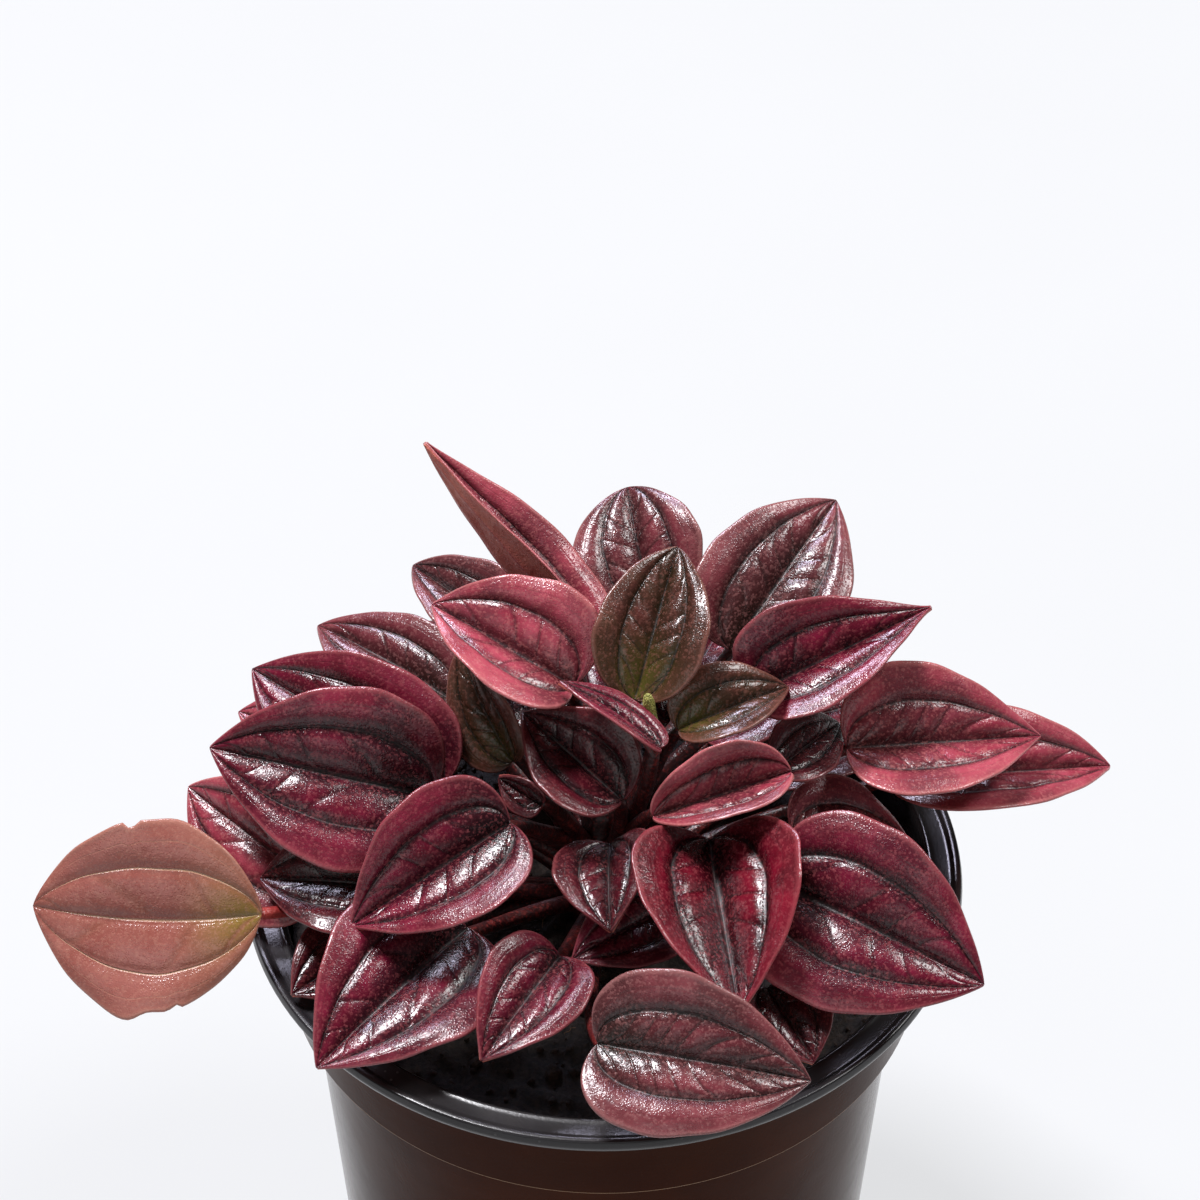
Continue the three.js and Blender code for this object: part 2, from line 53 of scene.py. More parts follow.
MM = 0.001
ROOT_BODY = "root"
BLADE_UV = "blade"
CROSS_PHASE = "cross_phase"
FLOAT = "NodeSocketFloat"
VECTOR = "NodeSocketVector"
GEOMETRY = "NodeSocketGeometry"

Triple = tuple[float, float, float]
Colour = tuple[int, int, int]
Faces = list[tuple[int, ...]]
Socket = bpy.types.NodeSocket
Node = bpy.types.Node
Material = bpy.types.Material
Thing = bpy.types.Object
Array = np.ndarray


def linear(colour: Colour) -> Triple:
    """A screen colour as linear light, by the sRGB curve.

    Args:
        colour: Red, green and blue, 0 to 255.

    Returns:
        The same colour, 0 to 1.
    """
    red, green, blue = (s / 12.92 if s <= 0.04045 else ((s + 0.055) / 1.055) ** 2.4
                        for s in (value / 255 for value in colour))
    return red, green, blue


# ---- Node trees -------------------------------------------------------------------------------


class Wiring:
    """Adds nodes to a tree and joins them."""

    def __init__(self, tree: bpy.types.NodeTree) -> None:
        """Starts on a tree.

        Args:
            tree: The node tree that gets the nodes.
        """
        self.tree = tree

    def feed(self, node: Node, inputs: dict[Any, Any]) -> None:
        """Sets or joins the inputs of a node.

        Args:
            node: The node.
            inputs: Values, sockets, or nodes for their first output, by input name or number.
        """
        for key, value in inputs.items():
            socket = node.inputs[key]
            if isinstance(value, Node):
                value = value.outputs[0]
            if isinstance(value, Socket):
                self.tree.links.new(value, socket)
            else:
                if socket.type == "RGBA" and len(value) == 3:
                    value = (*value, 1.0)
                socket.default_value = value

    def add(self, kind: str, inputs: dict[Any, Any] | None = None, **settings: Any) -> Node:
        """Adds one node.

        Args:
            kind: The node's type name.
            inputs: What its inputs are fed.
            settings: Properties of the node itself.

        Returns:
            The new node.
        """
        node = self.tree.nodes.new(kind)
        for key, value in settings.items():
            setattr(node, key, value)
        self.feed(node, inputs or {})
        return node

    def math(self, operation: str, *values: Any, clamp: bool = False) -> Socket:
        """The result of a Math node."""
        return self.add("ShaderNodeMath", dict(enumerate(values)), operation=operation,
                        use_clamp=clamp).outputs[0]

    def times(self, first: Any, second: Any) -> Socket:
        """One value times another."""
        return self.math("MULTIPLY", first, second)

    def scaled(self, value: Any, factor: Any, offset: Any) -> Socket:
        """A value times a factor, plus an offset."""
        return self.math("MULTIPLY_ADD", value, factor, offset)

    def distance(self, first: Any, second: Any) -> Socket:
        """How far two values are apart."""
        return self.math("ABSOLUTE", self.math("SUBTRACT", first, second))

    def blend(self, share: Any, first: Any, second: Any) -> Socket:
        """Mixes two colours, each a socket or a screen colour."""
        ends = [linear(end) if isinstance(end, tuple) else end for end in (first, second)]
        return self.add("ShaderNodeMix", {0: share, 6: ends[0], 7: ends[1]}, data_type="RGBA").outputs[2]

    def remap(self, value: Any, low: Any, high: Any, to_low: Any = 0.0, to_high: Any = 1.0) -> Socket:
        """Maps one range to another, with eased ends, and stays inside it."""
        return self.add("ShaderNodeMapRange", {0: value, 1: low, 2: high, 3: to_low, 4: to_high},
                        interpolation_type="SMOOTHSTEP").outputs[0]

    def noise(self, vector: Any, scale: float, detail: float = 3.0, roughness: float = 0.55) -> Socket:
        """A Noise Texture of some scale per metre, about 0.5 on average."""
        return self.add("ShaderNodeTexNoise", {
            "Vector": vector, "Scale": scale, "Detail": detail, "Roughness": roughness}).outputs[0]


class Group(Wiring):
    """A shader node group that several materials share."""

    def __init__(self, name: str, inputs: dict[str, float | None]) -> None:
        """Starts the group.

        Args:
            name: Its name.
            inputs: The default of each input by name; None stands for a vector.
        """
        super().__init__(bpy.data.node_groups.new(name, "ShaderNodeTree"))
        for label, default in inputs.items():
            kind = VECTOR if default is None else FLOAT
            socket = self.tree.interface.new_socket(label, in_out="INPUT", socket_type=kind)
            if default is not None:
                socket.default_value = default
        self.given = self.add("NodeGroupInput").outputs

    def close(self, outputs: dict[str, Socket]) -> bpy.types.NodeTree:
        """Gives the group its outputs.

        Args:
            outputs: The value of each output by name.

        Returns:
            The group.
        """
        for label in outputs:
            self.tree.interface.new_socket(label, in_out="OUTPUT", socket_type=FLOAT)
        self.add("NodeGroupOutput", outputs)
        return self.tree


class Effects:
    """The shader node groups, each built once."""

    def __init__(self) -> None:
        """Builds every group."""
        self.veins = self.build_veins()
        self.cells = self.build_cells()
        self.dust = self.build_dust()

    @staticmethod
    def build_veins() -> bpy.types.NodeTree:
        """Vein masks that follow the blade from its UV map, with a band along the midrib and side veins
        that carries painted shade.

        Returns:
            The group.
        """
        w = Group("leaf_veins", {"UV": None, "Phase": 0.0, "Side Vein": 0.52, "Width": 0.03})
        given = w.given
        uv = w.add("ShaderNodeSeparateXYZ", {0: given["UV"]}).outputs
        reach = w.math("ABSOLUTE", w.scaled(uv[1], 2.0, -1.0))
        width = w.times(given["Width"], w.scaled(uv[0], -0.65, 1.15))

        def line(place: Any, breadth: Any) -> Socket:
            """A soft line at a reach, 1 on it and 0 a breadth away."""
            return w.remap(w.distance(reach, place), 0.0, breadth, 1.0, 0.0)

        midrib, side = line(0.0, w.times(width, 1.6)), line(given["Side Vein"], w.times(width, 1.3))
        outer = w.times(line(0.8, width), 0.2)
        veins = w.math("MAXIMUM", w.math("MAXIMUM", midrib, side), outer)
        # A broad band along the midrib and side veins: the mask for painted shade in their grooves.
        shade_band = w.math("MAXIMUM", line(0.0, 0.38), line(given["Side Vein"], 0.18))
        saw = w.distance(w.math("FRACT", given["Phase"]), 0.5)
        inside = w.times(w.remap(reach, 0.02, 0.1), w.remap(reach, 0.42, 0.56, 1.0, 0.0))
        cross = w.times(w.remap(saw, 0.0, 0.12, 1.0, 0.0), inside)
        height = w.math("SUBTRACT", 1.0, w.math("MAXIMUM", veins, w.times(cross, 0.6)))
        return w.close({"Veins": veins, "Shade Band": shade_band, "Cross": cross, "Share": uv[0], "Reach": reach,
                        "Margin": w.remap(reach, 0.93, 0.99), "Height": height})

    @staticmethod
    def build_cells() -> bpy.types.NodeTree:
        """The fine cell pattern of a juicy leaf or stalk.

        Returns:
            The group.
        """
        w = Group("cell_sparkle", {"Vector": None, "Scale": 2700.0})
        cells = w.add("ShaderNodeTexVoronoi", {
            "Vector": w.given["Vector"], "Scale": w.given["Scale"]}).outputs
        chance = w.add("ShaderNodeSeparateColor", {0: cells["Color"]}).outputs[0]
        return w.close({"Sparkle": w.remap(chance, 0.55, 1.0),
                        "Height": w.remap(cells["Distance"], 0.0, 0.6, 1.0, 0.0)})

    @staticmethod
    def build_dust() -> bpy.types.NodeTree:
        """Dust and fine scratches on moulded plastic.

        Returns:
            The group.
        """
        w = Group("dust_and_scratches", {"Vector": None, "Dust": 0.5})
        vector = w.given["Vector"]
        specks = w.add("ShaderNodeTexVoronoi", {"Vector": vector, "Scale": 420.0}).outputs
        speck = w.remap(specks["Distance"], 0.05, 0.13, 1.0, 0.0)
        patch = w.remap(w.noise(vector, 45.0, 4.0), 0.45, 0.7)
        dust = w.math("MULTIPLY", w.scaled(speck, 0.7, w.times(patch, 0.3)), w.given["Dust"], clamp=True)
        turned = w.add("ShaderNodeMapping", {"Vector": vector, "Scale": (60.0, 60.0, 1400.0)})
        ripple = w.times(w.noise(vector, 70.0, 2.0), 2.0)
        return w.close({"Dust": dust, "Scratches": w.remap(w.noise(turned, 1.0, 2.0), 0.62, 0.75),
                        "Height": w.scaled(w.noise(vector, 1800.0, 2.0), 0.4, ripple)})


class Skin(Wiring):
    """The wiring of one material: a Principled shader that reads Object coordinates."""

    def __init__(self, name: str) -> None:
        """Starts the material.

        Args:
            name: Its name.
        """
        self.material = bpy.data.materials.new(name)
        self.material.use_nodes = True
        super().__init__(self.material.node_tree)
        self.tree.nodes.clear()
        self.shader = self.add("ShaderNodeBsdfPrincipled")
        self.add("ShaderNodeOutputMaterial", {"Surface": self.shader})
        self.place = self.add("ShaderNodeTexCoord").outputs["Object"]

    def use(self, group: bpy.types.NodeTree, **inputs: Any) -> Any:
        """Places a shared group and gives its outputs."""
        return self.add("ShaderNodeGroup", inputs, node_tree=group).outputs

    def veins(self, effects: Effects, width: float) -> Any:
        """The vein masks of a blade, from its UV map and its cross-vein attribute.

        Args:
            effects: The shared shader groups.
            width: Breadth of a vein, as a share of the half width.

        Returns:
            The masks by name.
        """
        uv = self.add("ShaderNodeUVMap", uv_map=BLADE_UV).outputs[0]
        phase = self.add("ShaderNodeAttribute", attribute_name=CROSS_PHASE).outputs["Fac"]
        return self.use(effects.veins, UV=uv, Phase=phase, Width=width)

    def grain(self, scale: float, detail: float = 3.0) -> Socket:
        """Noise over the piece."""
        return self.noise(self.place, scale, detail)

    def clouds(self, scale: float, detail: float, first: Colour, second: Colour) -> Socket:
        """Two colours in soft clouds."""
        return self.blend(self.remap(self.grain(scale, detail), 0.35, 0.65), first, second)

    def glaze(self, colour: Socket, *layers: tuple[Any, float, Colour]) -> Socket:
        """Lays thin colours over another.

        Args:
            colour: What lies under them.
            layers: Mask, strength and colour of each, from below.

        Returns:
            The colour with all of them.
        """
        for mask, strength, tint in layers:
            colour = self.blend(self.times(mask, strength), colour, tint)
        return colour

    def finish(self, colour: Socket, rough: Socket, *layers: tuple[Any, float]) -> Material:
        """Leads colour, roughness and relief to the shader.

        Args:
            colour: The base colour.
            rough: The roughness.
            layers: Height and depth in metres of each layer of relief, coarse to fine.

        Returns:
            The material.
        """
        normal: dict[str, Node] = {}
        for height, depth in layers:
            normal = {"Normal": self.add("ShaderNodeBump", {
                "Height": height, "Distance": depth, "Strength": 1.0, **normal})}
        self.feed(self.shader, {"Base Color": colour, "Roughness": rough, **normal})
        return self.material


# ---- Finishes ---------------------------------------------------------------------------------


@dataclass(frozen=True)
class BladeFinish:
    """The upper side of a leaf.

    Args:
        name: The material's name.
        blade: Main colour between the veins.
        blush: Brighter colour that clouds over it.
        shade: Colour of the painted shade along the vein grooves and in random patches.
        vein: The veins themselves.
        margin: The thin rim of the blade.
        foot: Colour round the stalk's end: a green or yellow tint on the olive and faded leaves, painted
            shade on the others.
        foot_reach: How far that colour runs along the blade, as a share.
        shade_amount: Strength of that painted shade.
        roughness: Roughness between the veins.
        vein_width: Breadth of a vein, as a share of the half width.
    """

    name: str
    blade: Colour
    blush: Colour
    shade: Colour
    vein: Colour
    margin: Colour
    foot: Colour
    foot_reach: float = 0.42
    shade_amount: float = 0.95
    roughness: float = 0.25
    vein_width: float = 0.03

    # Scales of the noise per metre; the second and third break up the painted shade
    CLOUDS, DEPTHS, MURK, GLOSS, WRINKLES = 150.0, 75.0, 260.0, 500.0, 260.0
    # How far the gloss varies, and how much duller a vein is
    GLOSS_RANGE, VEIN_DULLNESS = 0.22, 0.25
    # Depth of the relief in metres
    WRINKLE_DEPTH, VEIN_DEPTH, CELL_DEPTH = 0.00018, 0.0001, 0.00003

    def material(self, effects: Effects) -> Material:
        """Builds the material.

        Args:
            effects: The shared shader groups.

        Returns:
            The material.
        """
        w = Skin(self.name)
        veins, cells = w.veins(effects, self.vein_width), w.use(effects.cells, Vector=w.place)
        # Painted shade in random patches over the blade.
        depths = w.remap(w.grain(self.DEPTHS, 2.0), 0.46, 0.62, 0.0, 0.65)
        # Painted shade in the band along the vein grooves, broken up by noise.
        groove_shade = w.times(veins["Shade Band"], w.remap(w.grain(self.MURK, 4.0), 0.3, 0.7, 0.55, 1.0))
        # Round the stalk's end: a real green or yellow tint on olive and faded leaves, painted shade on
        # the others.
        foot = w.times(w.remap(veins["Share"], 0.02, self.foot_reach, 1.0, 0.0),
                       w.remap(veins["Reach"], 0.1, 0.75, 0.95, 0.2))
        colour = w.glaze(
            w.clouds(self.CLOUDS, 3.0, self.blade, self.blush),
            (w.remap(veins["Reach"], 0.55, 1.0, 0.0, 0.12), 1.0, self.margin),
            (depths, self.shade_amount, self.shade),
            (groove_shade, self.shade_amount, self.shade),
            (foot, 1.0, self.foot),
            (veins["Cross"], 0.6, self.shade),
            (veins["Veins"], 0.72, self.vein),
            (cells["Sparkle"], 0.34, self.margin),
            (veins["Margin"], 0.45, self.margin))
        rough = w.scaled(w.grain(self.GLOSS), self.GLOSS_RANGE, self.roughness - self.GLOSS_RANGE / 2)
        rough = w.scaled(veins["Veins"], self.VEIN_DULLNESS, rough)
        return w.finish(colour, rough, (w.grain(self.WRINKLES, 2.0), self.WRINKLE_DEPTH),
                        (veins["Height"], self.VEIN_DEPTH), (cells["Height"], self.CELL_DEPTH))


@dataclass(frozen=True)
class UnderFinish:
    """The underside of a leaf: paler, with the veins standing out.

    Args:
        name: The material's name.
        blade: Main colour.
        blush: Clouded colour.
        vein: The ribs.
        vein_width: Breadth of a rib, as a share of the half width.
    """

    name: str
    blade: Colour
    blush: Colour
    vein: Colour
    vein_width: float = 0.045

    def material(self, effects: Effects) -> Material:
        """Builds the material.

        Args:
            effects: The shared shader groups.

        Returns:
            The material.
        """
        w = Skin(self.name)
        cells = w.use(effects.cells, Vector=w.place)
        colour = w.glaze(w.clouds(130.0, 3.0, self.blade, self.blush),
                         (w.veins(effects, self.vein_width)["Veins"], 0.6, self.vein),
                         (cells["Sparkle"], 0.25, self.vein))
        return w.finish(colour, w.scaled(w.grain(600.0), 0.2, 0.4), (w.grain(400.0), 0.0004),
                        (cells["Height"], 0.00005))


@dataclass(frozen=True)
class StalkFinish:
    """Juicy stalks, with painted shade darkening them near the crown.

    Args:
        name: The material's name.
        skin: Main colour.
        blush: Colour of the streaks.
        root: Colour of the painted shade near the crown.
        root_height: Height of the crown's middle, in metres.
        root_reach: How far that painted shade spreads, in metres.
    """

    name: str
    skin: Colour
    blush: Colour
    root: Colour
    root_height: float
    root_reach: float

    def material(self, effects: Effects) -> Material:
        """Builds the material.

        Args:
            effects: The shared shader groups.

        Returns:
            The material.
        """
        w = Skin(self.name)
        cells = w.use(effects.cells, Vector=w.place, Scale=2600.0)
        spot = w.add("ShaderNodeVectorMath", {0: w.place, 1: (0.0, 0.0, self.root_height)},
                     operation="DISTANCE").outputs["Value"]
        # Painted shade: the stalks darken towards the crown.
        near = w.remap(spot, self.root_reach * 0.55, self.root_reach, 1.0, 0.0)
        colour = w.glaze(w.clouds(220.0, 4.0, self.skin, self.blush), (near, 0.95, self.root),
                         (cells["Sparkle"], 0.3, self.blush))
        return w.finish(colour, w.scaled(w.grain(700.0, 2.0), 0.2, 0.28), (w.grain(700.0), 0.0003),
                        (cells["Height"], 0.00004))


@dataclass(frozen=True)
class PlasticFinish:
    """Thin glossy moulded plastic.

    Args:
        name: The material's name.
        plastic: Its colour.
        mottle: A slightly different colour that clouds over it.
        dust: Colour of the dust on it, and of the painted highlight along the edge line.
        dust_amount: How much dust, 0 to 1.
        roughness: How dull it is.
        specular: Specular level.
        front_sheen: Linear colour of what it mirrors when seen square on.
        edge_highlight_height: Height in metres of an edge line painted pale as a highlight, if above 0.
    """

    name: str
    plastic: Colour
    mottle: Colour
    dust: Colour
    dust_amount: float
    roughness: float
    specular: float
    front_sheen: Triple = (1.0, 1.0, 1.0)
    edge_highlight_height: float = -1.0

    def material(self, effects: Effects) -> Material:
        """Builds the material.

        Args:
            effects: The shared shader groups.

        Returns:
            The material.
        """
        w = Skin(self.name)
        wear = w.use(effects.dust, Vector=w.place, Dust=self.dust_amount)
        height = w.add("ShaderNodeSeparateXYZ", {0: w.place}).outputs[2]
        # A thin pale line at that height: a painted highlight on the step's rounded edge.
        edge_highlight = w.remap(w.distance(height, self.edge_highlight_height), 0.0001, 0.0003, 0.8, 0.0)
        colour = w.glaze(w.clouds(30.0, 3.0, self.plastic, self.mottle),
                         (wear["Dust"], 0.5, self.dust), (edge_highlight, 1.0, self.dust))
        rough = w.scaled(wear["Dust"], 0.3, w.scaled(wear["Scratches"], 0.12, self.roughness))
        w.feed(w.shader, {"Specular IOR Level": self.specular, "Specular Tint": self.front_sheen})
        return w.finish(colour, rough, (wear["Height"], 0.00006), (wear["Scratches"], 0.000008))


@dataclass(frozen=True)
class GritFinish:
    """Rough dull matter: potting soil, perlite, fibres or flower buds.

    Args:
        name: The material's name.
        dark: Its darker colour.
        light: Its lighter colour.
        scale: Grains per metre.
        depth: Depth of the grain in metres.
        roughness: How dull it is.
    """

    name: str
    dark: Colour
    light: Colour
    scale: float
    depth: float
    roughness: float = 0.85

    def material(self, effects: Effects) -> Material:
        """Builds the material.

        Args:
            effects: The shared shader groups.

        Returns:
            The material.
        """
        w = Skin(self.name)
        cells = w.use(effects.cells, Vector=w.place, Scale=self.scale * 2)
        grain = w.noise(w.place, self.scale, 6.0, 0.65)
        colour = w.glaze(w.blend(w.remap(grain, 0.35, 0.68), self.dark, self.light),
                         (cells["Sparkle"], 0.3, self.light))
        return w.finish(colour, w.scaled(grain, -0.25, self.roughness + 0.1), (grain, self.depth))


class Tone(Enum):
    """Which of the plant's leaf colours a leaf has; the deep tone is the wine colour darkened as painted
    shade.
    """

    WINE = "wine"
    CRIMSON = "crimson"
    DUSKY = "dusky"
    OLIVE = "olive"
    ROSE = "rose"
    # The deep tone: wine darkened as painted shade for leaves low in the rosette.
    WINE_SHADED = "deep"
    FADED = "faded"


# The last colour of each finish lies round the stalk's end: painted shade, except the green and yellow
# base tints of the olive and faded leaves.
BLADE_FINISHES: dict[Tone, BladeFinish] = {
    Tone.WINE: BladeFinish("blade_wine", (84, 10, 30), (116, 20, 48), (16, 4, 8), (8, 4, 6),
                           (156, 80, 84), (16, 6, 9)),
    # The deep finish: the wine colours darkened, painted shade for the low, inner leaves.
    Tone.WINE_SHADED: BladeFinish("blade_wine_shaded", (58, 9, 18), (84, 18, 32), (12, 4, 6), (8, 4, 5),
                           (128, 62, 64), (14, 6, 7)),
    Tone.CRIMSON: BladeFinish("blade_crimson", (76, 4, 20), (122, 9, 36), (11, 3, 5), (8, 3, 5),
                              (156, 70, 76), (14, 4, 7)),
    Tone.DUSKY: BladeFinish("blade_dusky", (96, 36, 44), (126, 56, 64), (38, 22, 21), (14, 9, 9),
                            (156, 104, 102), (34, 24, 19), foot_reach=0.5),
    Tone.OLIVE: BladeFinish("blade_olive", (64, 40, 28), (88, 42, 38), (34, 27, 15), (13, 11, 8),
                            (136, 86, 76), (74, 70, 26), foot_reach=0.5),
    Tone.ROSE: BladeFinish("blade_rose", (138, 46, 62), (172, 72, 88), (58, 22, 28), (26, 11, 14),
                           (186, 112, 110), (66, 26, 28)),
    Tone.FADED: BladeFinish("blade_faded", (142, 78, 70), (156, 94, 86), (130, 76, 62),
                            (192, 156, 124), (176, 122, 106), (126, 104, 42), shade_amount=0.35,
                            roughness=0.24, vein_width=0.016),
}
UNDER_FINISH = UnderFinish("blade_underside", (168, 82, 72), (184, 102, 86), (150, 50, 56))
# The dark root colour is painted shade round the crown.
STALK_FINISH = StalkFinish("stalk_skin", (140, 36, 40), (168, 60, 54), (28, 7, 9), 0.1, 0.068)
# The pale line at 80.1 mm on the outside is a painted highlight along the step's edge.
POT_OUTSIDE = PlasticFinish("pot_outside_brown", (48, 20, 8), (60, 27, 11), (158, 126, 98), 0.04, 0.1,
                            0.02, (0.06, 0.045, 0.03), 0.0801)
POT_INSIDE = PlasticFinish("pot_inside_grey", (32, 30, 31), (40, 38, 41), (120, 116, 112), 0.35, 0.24,
                           0.35)
SOIL_FINISH = GritFinish("soil_dark", (14, 9, 7), (46, 32, 24), 900.0, 0.0008)
CRUMB_FINISH = GritFinish("soil_crumb", (20, 13, 10), (66, 46, 34), 1200.0, 0.0004)
PERLITE_FINISH = GritFinish("perlite_white", (168, 164, 158), (222, 220, 214), 1500.0, 0.0003)
FIBRE_FINISH = GritFinish("soil_fibre", (70, 46, 30), (142, 104, 70), 1800.0, 0.0001)
BUD_FINISH = GritFinish("flower_bud", (122, 120, 52), (176, 172, 96), 2400.0, 0.0001, 0.55)


# ---- Meshes -----------------------------------------------------------------------------------


def placed(name: str, data: bpy.types.ID) -> Thing:
    """Links a new object to the scene, at the origin.

    Args:
        name: Its name.
        data: Its mesh, curve, light or camera.

    Returns:
        The object.
    """
    thing = bpy.data.objects.new(name, data)
    bpy.context.scene.collection.objects.link(thing)
    return thing


def mesh_object(name: str, points: Sequence[Any], faces: Faces, *materials: Material) -> Thing:
    """Makes a smooth mesh object.

    Args:
        name: Name of the object.
        points: Its points in metres.
        faces: Its faces, counter-clockwise from outside.
        materials: Its material slots.

    Returns:
        The object.
    """
    mesh = bpy.data.meshes.new(name)
    mesh.from_pydata([tuple(p) for p in points], [], faces)
    mesh.polygons.foreach_set("use_smooth", [True] * len(mesh.polygons))
    for material in materials:
        mesh.materials.append(material)
    mesh.update()
    return placed(name, mesh)


def wrapped(name: str, poles: Sequence[Any], rings: Sequence[Sequence[Any]], material: Material,
            flip: bool = False) -> Thing:
    """Wraps a closed skin round rings of points.

    Args:
        name: Name of the object.
        poles: The points that close the first and the last ring.
        rings: The rings, all with as many points.
        material: Its material.
        flip: Whether the faces turn the other way.

    Returns:
        The object.
    """
    count = len(rings[0])
    points = [poles[0], *(point for ring in rings for point in ring), poles[1]]
    last, top = len(points) - 1, 1 + (len(rings) - 1) * count
    faces: Faces = []
    for j in range(count):
        k = (j + 1) % count
        faces.append((0, 1 + j, 1 + k) if flip else (0, 1 + k, 1 + j))
        for a in range(1, top, count):
            b = a + count
            faces.append((a + j, b + j, b + k, a + k) if flip else (a + j, a + k, b + k, b + j))
        faces.append((top + j, last, top + k) if flip else (top + j, top + k, last))
    return mesh_object(name, points, faces, material)


def turned(radius: float, angle: float, height: float) -> Triple:
    """A point in metres from its radius, angle and height in millimetres."""
    return radius * math.cos(angle) * MM, radius * math.sin(angle) * MM, height * MM


def around(count: int) -> list[float]:
    """Evenly spread angles, in radians."""
    return [j / count * math.tau for j in range(count)]


def face_out(thing: Thing) -> None:
    """Merges doubles and points a closed mesh's faces outwards.

    Args:
        thing: The object to mend.
    """
    shell = bmesh.new()
    shell.from_mesh(thing.data)
    bmesh.ops.remove_doubles(shell, verts=shell.verts, dist=1e-6)
    bmesh.ops.recalc_face_normals(shell, faces=shell.faces)
    shell.to_mesh(thing.data)
    shell.free()


def shown(thing: Thing, slot: str, *nodes: str) -> None:
    """Puts a finished piece in the place of CAD nodes.

    Args:
        thing: The finished piece.
        slot: Name of a material slot; not used.
        nodes: The CAD nodes that it stands for.
    """
    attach(thing, ROOT_BODY)
    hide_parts(*nodes)
    log.info("%s: %d faces", thing.name, len(thing.data.polygons))


class NodeShape(Wiring):
    """A Geometry Nodes tree that turns a carrier object into a finished mesh."""

    def __init__(self, name: str, sizes: dict[str, float]) -> None:
        """Starts the tree with its named inputs.

        Args:
            name: Name of the tree.
            sizes: Named sizes in metres and their values.
        """
        super().__init__(bpy.data.node_groups.new(name, "GeometryNodeTree"))
        self.sizes = sizes
        new_socket = self.tree.interface.new_socket
        new_socket("Geometry", in_out="INPUT", socket_type=GEOMETRY)
        for label, value in sizes.items():
            new_socket(label, in_out="INPUT", socket_type=FLOAT).default_value = value
        new_socket("Geometry", in_out="OUTPUT", socket_type=GEOMETRY)
        self.given = self.add("NodeGroupInput").outputs

    def random(self, seed: int, low: Any, high: Any) -> Socket:
        """A random value for each instance.

        Args:
            seed: Its seed.
            low: Its lower end, a number or a vector.
            high: Its upper end, of the same kind.

        Returns:
            The value.
        """
        if isinstance(low, tuple):
            return self.add("FunctionNodeRandomValue", {0: low, 1: high, "Seed": seed},
                            data_type="FLOAT_VECTOR").outputs[0]
        return self.add("FunctionNodeRandomValue", {2: low, 3: high, "Seed": seed},
                        data_type="FLOAT").outputs[1]

    def scattered(self, density: Any, seed: int) -> Node:
        """Points strewn over the carrier."""
        return self.add("GeometryNodeDistributePointsOnFaces", {
            "Mesh": self.given["Geometry"], "Density": density, "Seed": seed})

    def shaken(self, geometry: Node, texture: dict[str, float], reach: float) -> Node:
        """Pushes the points of a geometry about.

        Args:
            geometry: What is pushed.
            texture: Inputs of the Noise Texture that pushes it.
            reach: How far it pushes.

        Returns:
            The node with the result.
        """
        drift = self.add("ShaderNodeTexNoise", texture).outputs["Color"]
        push = self.add("ShaderNodeVectorMath", {0: drift, 1: (0.5, 0.5, 0.5)}, operation="SUBTRACT")
        push = self.add("ShaderNodeVectorMath", {0: push, "Scale": reach}, operation="SCALE")
        return self.add("GeometryNodeSetPosition", {"Geometry": geometry, "Offset": push})

    def make(self, name: str, carrier: Thing, geometry: Node, material: Material) -> Thing:
        """Ends the tree, runs it on a carrier and keeps the result as a plain mesh.

        Args:
            name: Name of the new object.
            carrier: The object that carries the input geometry; it is removed.
            geometry: What the tree has made.
            material: The material it gets.

        Returns:
            The new object.
        """
        real = self.add("GeometryNodeRealizeInstances", {0: geometry})
        smooth = self.add("GeometryNodeSetShadeSmooth", {"Geometry": real})
        dressed = self.add("GeometryNodeSetMaterial", {"Geometry": smooth, "Material": material})
        self.add("NodeGroupOutput", {0: dressed})
        modifier = carrier.modifiers.new("shape", "NODES")
        modifier.node_group = self.tree
        for item in self.tree.interface.items_tree:
            if item.in_out == "INPUT" and item.name in self.sizes:
                modifier[item.identifier] = self.sizes[item.name]
        graph = bpy.context.evaluated_depsgraph_get()
        graph.update()
        mesh = bpy.data.meshes.new_from_object(carrier.evaluated_get(graph), depsgraph=graph)
        mesh.name = name
        mesh.materials.clear()
        mesh.materials.append(material)
        mesh.polygons.foreach_set("material_index", [0] * len(mesh.polygons))
        bpy.data.objects.remove(carrier)
        return placed(name, mesh)


def join(name: str, *parts: Thing) -> Thing:
    """Joins plain mesh objects that belong to one piece.

    Args:
        name: Name of the piece.
        parts: The objects, all at the origin.

    Returns:
        The joined object.
    """
    joined = bmesh.new()
    materials: list[Material] = []
    for part in parts:
        start = len(joined.faces)
        joined.from_mesh(part.data)
        joined.faces.ensure_lookup_table()
        materials += [m for m in part.data.materials if m not in materials]
        places = [materials.index(material) for material in part.data.materials]
        for face in joined.faces[start:]:
            face.material_index = places[face.material_index]
    mesh = bpy.data.meshes.new(name)
    joined.to_mesh(mesh)
    joined.free()
    for material in materials:
        mesh.materials.append(material)
    for part in parts:
        bpy.data.objects.remove(part)
    return placed(name, mesh)


# ---- Pot --------------------------------------------------------------------------------------


